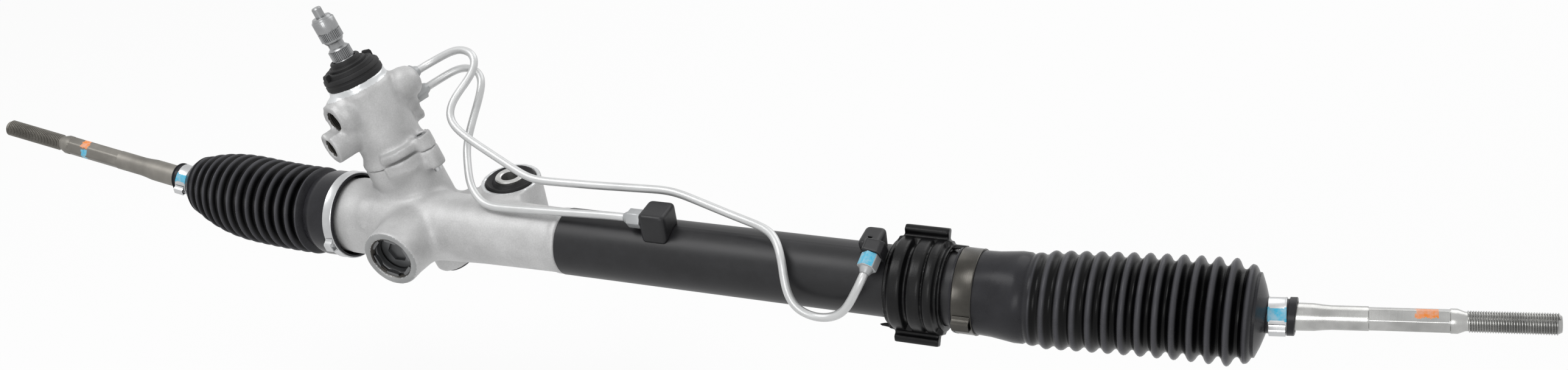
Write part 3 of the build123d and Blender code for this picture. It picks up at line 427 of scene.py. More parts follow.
class RACK_OT_finishes(bpy.types.Operator):
    """Makes every finish and puts it on the carried-over pieces."""
    bl_idname = "rack.finishes"
    bl_label = "Finishes"

    def execute(self, context):
        colours = context.scene.rack_colours
        FINISH.update(
            # shot-blasted casting: matt and pale, and bright only where a tool has been over it
            casting=cast_aluminium("die_cast_aluminium", colours.casting, 0.5),
            machined=turned_metal("machined_aluminium", linear("#DADCDD"), 0.3, "Y", metallic=0.75,
                                  line=1500),
            boss_face=turned_metal("milled_boss_face", linear("#A4A5A5"), 0.45, "Y", metallic=0.5),
            bore=turned_metal("oiled_bore_metal", linear("#6F6E6C"), 0.42, "Y", metallic=0.7),
            port_wall=turned_metal("oiled_thread_metal", linear("#3A3733"), 0.5, "Y", metallic=0.5),
            ring=turned_metal("die_cast_ring", linear("#737475"), 0.4, "Y"),
            sleeve=turned_metal("extruded_sleeve_aluminium", linear("#CFCFCD"), 0.34, "Z"),
            # paint and rubber: near black, told apart by how sharp their sheen is
            tube_paint=satin_paint("satin_stoved_paint", colours.paint, 0.4),
            rubber=moulded_rubber("moulded_rubber", colours.rubber, 0.5),
            bellows=bellows_rubber("glossy_bellows_rubber"),
            block=moulded_rubber("hard_moulded_rubber", linear("#070708"), 0.32, texture=0.2, sheen=0.2),
            cover=moulded_rubber("dull_moulded_rubber", colours.rubber, 0.56, texture=0.25),
            acetal=moulded_rubber("moulded_acetal", linear("#D9D4C2"), 0.4),
            # plated and coated steel: the pipes palest, the nuts greyer, the right band almost black
            pipe=coated_pipe("aluminised_pipe_coat", linear("#CFD0D0"), 0.36),
            nut=coated_pipe("zinc_flake_coat", linear("#A9ABAC"), 0.4),
            zinc=turned_metal("bright_zinc_plate", linear("#C9CACB"), 0.3, "X", line=1500),
            band=turned_metal("dark_chromated_band", linear("#4E4C48"), 0.28, "X", metallic=0.9, stain=0.6),
            dark=turned_metal("phosphated_steel", linear("#2A2A2B"), 0.5, "X", metallic=0.6),
            # bare steel: the left rod dull with old oil, the right one bright, the shafts ground
            rod_left=turned_metal("oiled_carbon_steel", linear("#8A8781"), 0.5, "X", metallic=0.85,
                                  stain=0.7),
            rod_right=turned_metal("turned_carbon_steel", linear("#B9B9B7"), 0.24, "X", stain=0.7),
            shaft=turned_metal("ground_steel", linear("#A4A5A6"), 0.3, "Z", stain=0.75),
            bar=turned_metal("induction_hardened_steel", linear("#A8A8A8"), 0.2, "X"),
            first_mark=brushed_paint("blue_marking_paint", colours.first_mark),
            second_mark=brushed_paint("orange_marking_paint", colours.second_mark),
        )
        plan = {
            "casting": ["gear_housing", "valve_housing"],
            "tube_paint": ["cylinder_tube", "union_left", "union_right"],
            "pipe": ["pipe_short", "pipe_long"],
            "zinc": ["pipe_nuts", "housing_bolts", "small_clamp_left", "small_clamp_right",
                     "large_clamp_left"],
            "bar": ["rack_bar", "piston", "bearing_inner", "bearing_outer"],
            "shaft": ["pinion_shaft", "torsion_bar", "input_shaft", "valve_sleeve"],
            "rod_left": ["tie_rod_left"],
            "rod_right": ["tie_rod_right"],
            "dark": ["socket_left", "socket_right", "lock_washers", "guide_spring", "end_ring", "pinion_cap",
                     "large_clamp_right"],
            "ring": ["guide_plug", "guide_lock_ring", "rack_guide"],
            "acetal": ["guide_liner", "ball_seat_left", "ball_seat_right", "end_bush", "lower_bush",
                       "piston_ring"],
            "rubber": ["bush_rubber", "dust_cover", "inner_seal", "outer_seal", "pinion_seal", "input_seal",
                       "boot_left", "boot_right"],
            "block": ["mount_block"],
            "sleeve": ["bush_sleeve"],
        }
        for finish, nodes in plan.items():
            for node in nodes:
                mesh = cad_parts[node].data
                mesh.materials.clear()
                mesh.materials.append(FINISH[finish])
        return {"FINISHED"}


# ---- stage -----------------------------------------------------------------------------------
FLOOR_DROP = 0.16                              # floor below the lowest point, in metres
FLOOR_GLOW = 0.9                               # share of the board that is plain white, the rest takes shadow
AIM = Vector((0.15, -0.045, 0.0))              # what the lamps point at
LAMPS = (("key", (-0.5, -0.5, 1.7), 0.8, 13), ("front", (0.6, -1.8, 0.9), 0.8, 10),
         ("back", (0.6, 1.4, 1.2), 1.4, 9))    # name, place, size in metres and watts
SKY = (("Z", -0.25, 0.75, 0.3, 0.76),          # the soft light comes mostly from above,
       ("Y", -0.9, 0.3, 0.4, 1.0))             # and the camera's side of the room is darker
CAMERA_PLACE = (0.6742, -0.8825, 0.6410)
CAMERA_RIGHT = Vector((0.9232183, 0.36395599, -0.1233045))
CAMERA_UP = Vector((-0.09462958, 0.52631839, 0.84500544))
LENS, SENSOR = 34.94, 36.0                     # millimetres


def seen_rays(tree):
    """One for the rays that look at the background: straight, mirrored or through glass."""
    path = add_node(tree, "ShaderNodeLightPath")
    either = add_node(tree, "ShaderNodeMath", {"operation": "MAXIMUM"},
                      {0: (path, "Is Camera Ray"), 1: (path, "Is Glossy Ray")})
    return add_node(tree, "ShaderNodeMath", {"operation": "MAXIMUM"},
                    {0: (either, "Value"), 1: (path, "Is Transmission Ray")})


class RACK_OT_stage(bpy.types.Operator):
    """White floor and backdrop, soft box lights and the camera."""
    bl_idname = "rack.stage"
    bl_label = "Stage"

    def execute(self, context):
        scene = context.scene
        scene.view_settings.view_transform = "Standard"
        world = bpy.data.worlds.new("studio")
        scene.world = world
        world.use_nodes = True
        tree = world.node_tree
        tree.nodes.clear()
        seen = seen_rays(tree)
        sky = add_node(tree, "ShaderNodeTexCoord")
        way = add_node(tree, "ShaderNodeSeparateXYZ", links={"Vector": (sky, "Generated")})
        fades = [(add_node(tree, "ShaderNodeMapRange", {"interpolation_type": "SMOOTHSTEP", "From Min": low,
                                                        "From Max": high, "To Min": dim, "To Max": full},
                           {"Value": (way, axis)}), "Result") for axis, low, high, dim, full in SKY]
        share = add_node(tree, "ShaderNodeMath", {"operation": "MULTIPLY"}, dict(enumerate(fades)))
        light = add_node(tree, "ShaderNodeBackground", {"Color": (1, 1, 1, 1)},
                         {"Strength": (share, "Value")})
        white = add_node(tree, "ShaderNodeBackground", {"Color": (1, 1, 1, 1), "Strength": 1.0})
        mix = add_node(tree, "ShaderNodeMixShader",
                       links={0: (seen, "Value"), 1: (light, "Background"), 2: (white, "Background")})
        add_node(tree, "ShaderNodeOutputWorld", links={"Surface": (mix, "Shader")})

        bm = bmesh.new()
        bmesh.ops.create_grid(bm, x_segments=1, y_segments=1, size=6.0,
                              matrix=Matrix.Translation((0, 0, CAD_BOX[0].z - FLOOR_DROP)))
        floor = placed("floor", mesh_from(bm, "floor"))
        # matt white board: no sheen of its own, and it runs into the white behind it
        material, tree, place = new_material("matt_white_board")
        diffuse = add_node(tree, "ShaderNodeBsdfDiffuse", {"Color": (0.8, 0.8, 0.8, 1)})
        glow = add_node(tree, "ShaderNodeEmission", {"Color": (1, 1, 1, 1), "Strength": 1.0})
        share = add_node(tree, "ShaderNodeMath", {"operation": "MULTIPLY", 1: FLOOR_GLOW},
                         {0: (seen_rays(tree), "Value")})
        mix = add_node(tree, "ShaderNodeMixShader",
                       links={0: (share, "Value"), 1: (diffuse, "BSDF"), 2: (glow, "Emission")})
        add_node(tree, "ShaderNodeOutputMaterial", links={"Surface": (mix, "Shader")})
        floor.data.materials.append(material)

        for name, place, size, power in LAMPS:
            lamp = bpy.data.lights.new(name, "AREA")
            lamp.energy, lamp.size = power, size
            holder = placed(name, lamp)
            holder.location = place
            holder.rotation_euler = (AIM - Vector(place)).to_track_quat("-Z", "Y").to_euler()

        camera = placed("camera", bpy.data.cameras.new("camera"))
        camera.data.lens, camera.data.sensor_width = LENS, SENSOR
        camera.data.clip_end = 20.0
        back = CAMERA_RIGHT.cross(CAMERA_UP).normalized()
        turn = Matrix((CAMERA_RIGHT, CAMERA_UP, back)).transposed().to_4x4()
        camera.matrix_world = Matrix.Translation(CAMERA_PLACE) @ turn
        scene.camera = camera
        return {"FINISHED"}


# ---- castings --------------------------------------------------------------------------------
LARGE_CELLS = 1.13                             # cells of the large casting, against the small one's
UNION_CELLS, BLOCK_CELLS = 0.0006, 0.0008      # cells of the unions and the mounting block, in metres
HOLLOW = 0.00003                               # how far a fillet's point lies below its neighbours, in metres
FILLET_SPREAD = 6                              # rows of points that a fillet takes in on either side
CAST_SKIN = (-125, 69)                         # X between which the gear housing is left as cast
BORES = {"rack": 23.6, "guide": 19.2, "pinion": 19.2, "bush": 21.8}   # radius about each that stays sharp
NECK_TOP, RIM = 50, 122.6                      # machined joint face and top rim, along the pinion axis
BOSS_FACE, BOOT_FACE = 52.2, -149.2            # guide boss's face, out from the rack, and X of the boot's seat
GUIDE_BORE = (20, 52, 18.6)                    # the boss's bore: start and end out from the rack, and reach
EYE_FACE, EYE_REACH = 21.4, 24.6               # Z of the bush eye's faces, and their reach from its axis


def remeshed(bm, voxel):
    """Closed voxel skin around a bmesh and every lump added to it."""
    raw = placed("raw_skin", mesh_from(bm, "raw_skin"))
    skin = raw.modifiers.new("skin", "REMESH")
    skin.mode, skin.voxel_size, skin.adaptivity = "VOXEL", voxel, 0.0
    return shape_of(raw)


def soften(bm, rounds, fillet_rounds=0, sharp=None):
    """Rounds all edges a little, then fills the inside corners as a casting's radii do."""
    for _ in range(rounds):
        bmesh.ops.smooth_vert(bm, verts=bm.verts, factor=0.5, use_axis_x=True, use_axis_y=True,
                              use_axis_z=True)
    if not fillet_rounds:
        return
    bm.normal_update()
    zone = set()
    for vert in bm.verts:
        if sharp and sharp(vert.co / MM):
            continue
        near = [edge.other_vert(vert).co for edge in vert.link_edges]
        lift = (sum(near, Vector()) / len(near) - vert.co).dot(vert.normal)
        if lift > HOLLOW:
            zone.add(vert)
    for _ in range(FILLET_SPREAD):
        zone |= {edge.other_vert(vert) for vert in zone for edge in vert.link_edges}
    zone = [vert for vert in zone if not (sharp and sharp(vert.co / MM))]
    for _ in range(fillet_rounds):
        bmesh.ops.smooth_vert(bm, verts=zone, factor=0.5, use_axis_x=True, use_axis_y=True, use_axis_z=True)


def in_machined_bore(place):
    """Is a point of the gear housing on a machined bore or face, which stays sharp?"""
    from_rack = Vector((0, place.y - RACK_Y, place.z)).length
    from_guide = Vector((place.x - GUIDE_X, 0, place.z)).length
    from_bush = Vector((place.x, place.y, 0)).length
    return (from_rack < BORES["rack"] or (from_guide < BORES["guide"] and place.y < RACK_Y)
            or off_pinion(place) < BORES["pinion"] or from_bush < BORES["bush"]
            or not CAST_SKIN[0] <= place.x <= CAST_SKIN[1] or up_pinion(place) > NECK_TOP)


def in_port(place, start, past_face, spare):
    """Is a point of the valve housing within a hose port, or as near to its bore as is spare?"""
    for angle, height, face, bore in PORTS.values():
        middle, facing = pinion_place(angle, height, 0), pinion_facing(angle)
        out = (place - middle).dot(facing)
        if start < out < face + past_face and (place - middle - facing * out).length < bore + spare:
            return True
    return False


def flange_skirt(bm, low, high, reach):
    """Thicker front of the bolted flange, on either side of its joint."""
    outer = [(a, reach + 3 * sin(radians(a + 75) * 2.5)) for a in range(-75, -2, 6)]
    inner = [(a, 22) for a in range(-3, -76, -12)]
    corners = [(out * cos(radians(a)), out * sin(radians(a))) for a, out in outer + inner]
    prism(bm, corners, PINION_ORIGIN + PINION_UP * low, PINION_OUT, PINION_BACK, PINION_UP, high - low)


class RACK_OT_gear_housing(bpy.types.Operator):
    """Gear housing as one soft-cornered casting, with its rib, pip and machined faces."""
    bl_idname = "rack.gear_housing"
    bl_label = "Gear housing"

    def execute(self, context):
        sizes = context.scene.rack_sizes
        bm = cad_copy("gear_housing")
        for step in range(9):                                    # raised witness rib on the collar
            turn = radians(118 + 4.6 * step)
            ball(bm, Vector((-103.5, RACK_Y + 31.2 * cos(turn), 31.2 * sin(turn))), 2.2)
        turn = radians(160)
        ball(bm, Vector((-99, RACK_Y + 31 * cos(turn), 31 * sin(turn))), 3.2)
        flange_skirt(bm, 45.5, 59.2, 31.0)
        bm = remeshed(bm, sizes.cast_voxel * LARGE_CELLS)
        soften(bm, 5, 34, in_machined_bore)
        piece = finish_piece(bm, "cast_gear_housing", FINISH["casting"], "housing")
        paint_faces(piece, FINISH["boss_face"], lambda place: place.y < RACK_Y - BOSS_FACE)
        paint_faces(piece, FINISH["machined"], lambda place: place.x < BOOT_FACE
                    or (abs(place.z) > EYE_FACE and Vector((place.x, place.y)).length < EYE_REACH))
        start, end, reach = GUIDE_BORE
        paint_faces(piece, FINISH["bore"], lambda place: RACK_Y - end < place.y < RACK_Y - start
                    and Vector((place.x - GUIDE_X, place.z)).length < reach)
        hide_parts("gear_housing")
        return {"FINISHED"}


class RACK_OT_valve_housing(bpy.types.Operator):
    """Valve housing casting with its flange lip, machined rim and port threads."""
    bl_idname = "rack.valve_housing"
    bl_label = "Valve housing"

    def execute(self, context):
        sizes = context.scene.rack_sizes
        bm = cad_copy("valve_housing")
        flange_skirt(bm, 60.8, 68.5, 31.4)
        angle, height, face, bore = PORTS["supply"]              # wide shoulder of the supply boss
        turned(bm, [(20.5, 12), (20.5, 18.4), (23, 18.4), (27, 17.2), (30.5, 14.6), (31.5, 12)],
               pinion_place(angle, height, 0), pinion_facing(angle), 48)
        bm = remeshed(bm, sizes.cast_voxel)

        def machined(place):
            return off_pinion(place) < 19 or not 60 <= up_pinion(place) <= 120 or in_port(place, 12, 99, 1.2)

        soften(bm, 5, 14, machined)
        piece = finish_piece(bm, "cast_valve_housing", FINISH["casting"], "housing")
        paint_faces(piece, FINISH["machined"], lambda place: up_pinion(place) > RIM)
        paint_faces(piece, FINISH["port_wall"], lambda place: in_port(place, 8, -1, 0.4))
        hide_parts("valve_housing")
        bm = bmesh.new()
        for angle, height, face, bore in PORTS.values():
            thread(bm, pinion_place(angle, height, 0), pinion_facing(angle), face - 13.5, face - 0.8,
                   bore + 0.1, bore - 0.75, 1.5)
        finish_piece(bm, "port_threads", FINISH["port_wall"], "housing")
        return {"FINISHED"}


LEFT_PORT = (Vector((151.0, -53.3, 35.4)), Vector((-1, 0, 0)))
RIGHT_PORT = (Vector((337.5, -57.0, 36.2)), Vector((-0.12, -0.89, -0.44)).normalized())
NUT_STANDS_OFF = 6.0                           # depth of the right union's collar above its pipe seat
UNION_BACK, TOP_DOWN, TOP_HEIGHT = 2.5, 4, 38  # the right union sits back, and its top comes down


class RACK_OT_unions(bpy.types.Operator):
    """Brazed pipe unions with soft forged corners."""
    bl_idname = "rack.unions"
    bl_label = "Unions"

    def execute(self, context):
        for side in ("left", "right"):
            bm = cad_copy(f"union_{side}")
            if side == "right":
                for vert in bm.verts:
                    vert.co.x -= UNION_BACK * MM
                    if vert.co.z > TOP_HEIGHT * MM:
                        vert.co.z -= TOP_DOWN * MM
                seat, facing = RIGHT_PORT
                across = (RACK_WAY - facing * facing.x).normalized()
                prism(bm, [(-7.6, -7.0), (7.8, -7.0), (7.8, 5.0), (5.8, 7.0), (-5.8, 7.0), (-7.6, 5.0)],
                      seat - facing * 4, across, facing.cross(across), facing, 4 + NUT_STANDS_OFF)
            bm = remeshed(bm, UNION_CELLS)
            soften(bm, 6)
            piece = finish_piece(bm, f"forged_union_{side}", FINISH["tube_paint"], "housing")
            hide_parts(f"union_{side}")
        return {"FINISHED"}


# ---- valve end -------------------------------------------------------------------------------
def serrated(bm, low, high, root, tip, teeth):
    """Serrated length of the input shaft between two heights."""
    corners = []
    for tooth in range(teeth):
        for share, radius in ((0.0, root), (0.28, tip), (0.5, tip), (0.78, root)):
            turn = 2 * pi * (tooth + share) / teeth
            corners.append((radius * cos(turn), radius * sin(turn)))
    prism(bm, corners, PINION_ORIGIN + PINION_UP * low, PINION_OUT, PINION_BACK, PINION_UP, high - low)


class RACK_OT_input_shaft(bpy.types.Operator):
    """Input shaft with its serrations and clamp groove."""
    bl_idname = "rack.input_shaft"
    bl_label = "Input shaft"

    def execute(self, context):
        bm = bmesh.new()
        turned(bm, [(55, 2.6), (55, 10), (116, 10), (118, 8.4), (146.2, 8.4), (147, 8.0), (155, 8.0),
                    (155.8, 8.4), (157, 7.2), (157.6, 6.4), (161, 6.4), (162.6, 7.6), (164, 8.2),
                    (181.4, 8.2), (183, 7.9),
                    (184, 7.2), (184, 3.9), (171, 3.9), (170, 2.6)], PINION_ORIGIN, PINION_UP, 72)
        serrated(bm, 147.4, 155.4, 8.1, 9.0, 36)
        serrated(bm, 164.6, 171.5, 8.3, 9.2, 36)
        turned(bm, [(172, 8.0), (172, 8.9), (172.6, 9.2), (181.2, 9.2), (182, 8.6), (182, 8.0)],
               PINION_ORIGIN, PINION_UP, 72)
        serrated(bm, 173.2, 180.6, 8.9, 9.2, 44)
        piece = finish_piece(bm, "serrated_input_shaft", FINISH["shaft"], "pinion")
        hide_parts("input_shaft")
        return {"FINISHED"}


class RACK_OT_dust_cover(bpy.types.Operator):
    """Ribbed rubber cover over the valve housing's mouth, with its pull tab."""
    bl_idname = "rack.dust_cover"
    bl_label = "Dust cover"

    def execute(self, context):
        bm = bmesh.new()
        turned(bm, [(128.1, 17.2), (128.1, 23.3), (128.7, 23.8), (131.6, 23.8), (132.2, 23.2), (133.4, 23.2),
                    (134, 23.7), (136.4, 23.4), (137.4, 22.4), (137.6, 20.6), (138.6, 20.2), (140.2, 20.0),
                    (140.9, 19.2), (140.9, 17.6), (140.2, 16.6), (140.6, 15.8), (142.4, 15.6), (143.2, 14.8),
                    (143.3, 13.6), (142.9, 13.1), (143.4, 12.6), (146.2, 12.3), (147, 11.6), (147, 10.2),
                    (146.2, 9.2), (142.4, 8.7), (141, 8.7), (140.4, 10.4), (138.4, 12.2), (136, 16.4),
                    (135, 17.2)], PINION_ORIGIN, PINION_UP, 96)
        for angle, reach, width in ((78.0, 20.5, 3.4), (250.0, 20.5, 2.6)):
            out = pinion_facing(angle)
            across = PINION_UP.cross(out)
            foot = pinion_place(angle, 137.2, reach) - across * width
            prism(bm, [(-2.2, 0), (2.4, 0), (2.6, 3.4), (1.6, 5.2), (-0.8, 5.6), (-2.0, 4.2)], foot, out,
                  PINION_UP, across, 2 * width)
        piece = finish_piece(bm, "ribbed_dust_cover", FINISH["cover"], "housing")
        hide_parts("dust_cover")
        return {"FINISHED"}


# ---- tie rods --------------------------------------------------------------------------------
HEXAGON = (146.0, 194.0, 7.0)                  # start, end and half the width across flats
THREAD = (204.0, 256.2, 6.08, 7.0)             # start, end, core and crest radius
MARKS = {"left": (("second_mark", 175.0, 182.0, 1), ("first_mark", 175.5, 180.5, -1)),
         "right": (("second_mark", 173.5, 187.0, 1),)}           # start, end and side of each paint dab


class RACK_OT_tie_rods(bpy.types.Operator):
    """Tie rods with their wrench flats, rolled threads and inspection paint."""
    bl_idname = "rack.tie_rods"
    bl_label = "Tie rods"

    def execute(self, context):
        pitch = context.scene.rack_sizes.thread_pitch / MM
        for side in BALLS:
            centre, way = ball_centre(side), rod_way(side)
            outline = [(-12.5, 0)]
            outline += [(12.5 * cos(radians(a)), 12.5 * sin(radians(a))) for a in range(168, 31, -8)]
            outline += [(12.6, 6.3), (20, 6.5), (28, 8), (70, 8), (74, 8.3), (79, 9.1), (84, 9.2), (106, 9.2),
                        (112, 9.1), (118, 8.4), (123, 8), (144.5, 8)]
            outline += [(145.5 + 0.5 * step, 8) for step in range(5)]           # close rows for the six flats
            outline += [(150 + step, 8) for step in range(43)]
            outline += [(193 + 0.5 * step, 8) for step in range(5)]
            outline += [(198, 8), (202.4, 6.2), (204, 6.08), (255.4, 6.08), (257, 5.2), (257, 0)]
            bm = bmesh.new()
            turned(bm, outline, centre, way, 72, close=False)
            first, last, half = HEXAGON
            for number in range(6):
                flat = Matrix.Rotation(radians(44 + 60 * number), 3, way) @ PAINT_SIDE
                for vert in bm.verts:
                    out = off_rod(side, vert.co / MM).dot(flat)
                    if first < along_rod(side, vert.co / MM) < last and out > half:
                        vert.co += flat * (half - out) * MM
            start, end, core, crest = THREAD
            thread(bm, centre, way, start - 0.6, end, core, crest, pitch)
            piece = finish_piece(bm, f"threaded_rod_{side}", FINISH[f"rod_{side}"], f"rod_{side}")

            for finish, low, high, above in MARKS[side]:
                def dabbed(place):
                    ragged = 1.4 * noise.noise(place * 0.35)
                    out = off_rod(side, place)
                    return (low + ragged < along_rod(side, place) < high + ragged and out.dot(PAINT_SIDE) > 0
                            and out.dot(PAINT_ABOVE) * above > 0.8 + ragged)

                paint_faces(piece, FINISH[finish], dabbed)
            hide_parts(f"tie_rod_{side}")
        return {"FINISHED"}


# ---- clamps ----------------------------------------------------------------------------------
EAR_ANGLE = 191.0                              # clamp ears, about the rack from +Y
# the pinched ear's outline: along the band and out from it
EAR = [(-6.4, -0.3), (-5.2, 0.9), (-4.5, 2.2), (-4.3, 4.0), (-3.2, 4.9), (3.2, 4.9), (4.3, 4.0), (4.5, 2.2),
       (5.2, 0.9), (6.4, -0.3), (4.2, -0.3), (3.6, 1.0), (3.4, 3.2), (2.7, 4.0), (-2.7, 4.0), (-3.4, 3.2),
       (-3.6, 1.0), (-4.2, -0.3)]


def band_clamp(bm, centre, way, low, high, radius, scale):
    """Crimped band: rolled-edge ring with a pinched ear."""
    skin = radius + BAND_WALL
    turned(bm, [(low, radius), (low, skin), (low + 0.5, skin + 0.25), (low + 1.4, skin), (high - 1.4, skin),
                (high - 0.5, skin + 0.25), (high, skin), (high, radius)], centre, way, 96)
    turn = radians(EAR_ANGLE)
    level = Vector((0, 1, 0))
    level = (level - way * level.dot(way)).normalized()
    rise = way.cross(level) if way.x > 0 else level.cross(way)
    out = level * cos(turn) + rise * sin(turn)
    across = way.cross(out).normalized()
    start = centre + way * (low + 0.8) + out * skin
    prism(bm, [(a * scale, u * scale) for a, u in EAR], start, across, out, way, high - low - 1.6)


LARGE_BANDS = {"left": (-136.2, -127.8, 35.4, "zinc", "zinc_steel"),
               "right": (396.0, 410.0, 30.0, "band", "dark_steel")}   # start, end, radius, finish and slot
BAND_WALL = 0.9
SMALL_BAND_R = 11.6
DAB_FROM, DAB_SKIN = 11.7, 1.4                 # small band's paint: from how far out, and how far off the band


class RACK_OT_clamps(bpy.types.Operator):
    """Ear clamps on both ends of both boots."""
    bl_idname = "rack.clamps"
    bl_label = "Clamps"

    def execute(self, context):
        for side, (low, high, radius, finish, slot) in LARGE_BANDS.items():
            bm = bmesh.new()
            band_clamp(bm, Vector((0, RACK_Y, 0)), RACK_WAY, low, high, radius, 1.0)
            piece = finish_piece(bm, f"large_band_{side}", FINISH[finish], "housing")
            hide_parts(f"large_clamp_{side}")
            bm = bmesh.new()
            centre, way = ball_centre(side), rod_way(side)
            low, high, lip = SMALL_BANDS[side]
            band_clamp(bm, centre, way, low, high, SMALL_BAND_R, 0.7)
            piece = finish_piece(bm, f"small_band_{side}", FINISH["zinc"], f"rod_{side}")
            paint_faces(piece, FINISH["first_mark"],
                        lambda place: off_rod(side, place).dot(PAINT_SIDE) > DAB_FROM
                        and off_rod(side, place).length < SMALL_BAND_R + DAB_SKIN)
            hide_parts(f"small_clamp_{side}")
        return {"FINISHED"}


# ---- mounting block, bush and guide ----------------------------------------------------------
BLOCK_LEAN = -33.0                             # split of the mounting block, from +Z about the tube


class RACK_OT_mount_block(bpy.types.Operator):
    """Ribbed rubber mounting block with its two bracket lips."""
    bl_idname = "rack.mount_block"
    bl_label = "Mounting block"

    def execute(self, context):
        skin = [(345.0, TUBE_R + 0.1), (345.0, 30.0), (346, 31.6)]
        for low, high, top in ((349.5, 358.5, 33.8), (364, 373, 34.0), (375.5, 381.5, 33.6)):
            skin += [(low - 1.6, 29.2), (low - 0.6, 31.8), (low, top - 0.6), (low + 1, top), (high - 1, top),
                     (high, top - 0.6), (high + 0.6, 31.8), (high + 1.6, 29.2)]
        skin += [(384.5, 29.4), (386.5, 31.2), (387.5, 30.6), (387.5, TUBE_R + 0.1)]
        bm = bmesh.new()
        turned(bm, skin, (0, RACK_Y, 0), RACK_WAY, 96)
        lean = radians(BLOCK_LEAN)
        across, up = Vector((0, cos(lean), sin(lean))), Vector((0, -sin(lean), cos(lean)))
        for turn in (1, -1):
            lip = [(-3.6, 29), (-3.6, 36), (-5.4, 38), (-5.4, 39.6), (-3.2, 42.6), (3.2, 42.6), (3.6, 41.8),
                   (3.6, 29)]
            foot = [(-6.6, 29.5), (-5.2, 33.8), (4.8, 33.8), (6.6, 29.5)]
            for corners, low, high in ((lip, 350, 383), (foot, 346.5, 386)):
                shape = [(a, u * turn) for a, u in corners]
                prism(bm, shape, Vector((low, RACK_Y, 0)), across, up, RACK_WAY, high - low)
        # ledge over the boot's band, and the tongue below on the other side
        prism(bm, [(-5.2, 28.5), (-4.2, 31.6), (4.2, 31.6), (5.2, 28.5)], Vector((385, RACK_Y, 0)), across,
              up, RACK_WAY, 12)
        prism(bm, [(338, -31.2), (339, -32.4), (352, -33.6), (352, -28.5), (346, -29.5)],
              Vector((0, RACK_Y, 0)) - across * 4.5, RACK_WAY, up, across, 9)
        bm = remeshed(bm, BLOCK_CELLS)
        soften(bm, 3)
        piece = finish_piece(bm, "ribbed_mount_block", FINISH["block"], "housing")
        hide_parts("mount_block")
        return {"FINISHED"}


class RACK_OT_bush(bpy.types.Operator):
    """Mounting bush: dished rubber around a chamfered aluminium sleeve."""
    bl_idname = "rack.bush"
    bl_label = "Mounting bush"

    def execute(self, context):
        half, top = BUSH_HEIGHT - 1, BUSH_HEIGHT + 1.5
        rubber = [(half - 2.4, 20.9), (half - 0.8, 20.4), (half, 19.4), (half - 0.2, 18.6),
                  (half - 1.6, 17.4), (half - 2.0, 15.6), (half - 0.9, 14.2), (half, 13.4), (half, 12.25)]
        sleeve = [(top - 0.9, 12.2), (top, 11.4), (top, 8.2), (top - 0.9, 7.25)]
        for node, name, rise, finish, slot in (
                ("bush_rubber", "dished_bush_rubber", rubber, "cover", "black_rubber"),
                ("bush_sleeve", "chamfered_sleeve", sleeve, "sleeve", "sleeve_aluminium")):
            bm = bmesh.new()
            turned(bm, rise + [(-a, r) for a, r in reversed(rise)], (0, 0, 0), (0, 0, 1), 96)
            piece = finish_piece(bm, name, FINISH[finish], "housing")
            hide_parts(node)
        return {"FINISHED"}


class RACK_OT_guide(bpy.types.Operator):
    """Threaded rim and castellated lock ring in the guide boss."""
    bl_idname = "rack.guide"
    bl_label = "Guide lock ring"

    def execute(self, context):
        centre = Vector((GUIDE_X, RACK_Y, 0))
        bm = bmesh.new()
        turned(bm, [(43, 15.2), (43, 17.9), (47.6, 17.9), (48.4, 17.4), (48.4, 15.8), (47.6, 15.2)], centre,
               GUIDE_WAY, 96)
        for number in range(6):
            turn = radians(60 * number + 18)
            out = Vector((cos(turn), 0, sin(turn)))
            across = GUIDE_WAY.cross(out)
            low, high, half = 15.0, 17.7, 5.2
            prism(bm, [(-half, low), (half, low), (half * 1.12, high - 1.0), (half * 0.6, high),
                       (-half * 0.6, high), (-half * 1.12, high - 1.0)], centre + GUIDE_WAY * 47.5, across, out, GUIDE_WAY, 3.6)
        piece = finish_piece(bm, "castellated_lock_ring", FINISH["ring"], "housing")
        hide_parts("guide_lock_ring")
        bm = bmesh.new()
        thread(bm, centre, GUIDE_WAY, 43.5, 52.4, 18.05, 17.35, 1.5, 40)
        finish_piece(bm, "guide_boss_thread", FINISH["port_wall"], "housing")
        return {"FINISHED"}


# ---- cylinder pipes --------------------------------------------------------------------------
NUT_R, NUT_LENGTH, NUT_CHAMFER = 7.5, 11.0, 0.6
STRAIGHT = 4                                   # points at each end of a pipe that its bends leave alone
VALVE_STUB = 24                                # straight length of a pipe out of the valve housing


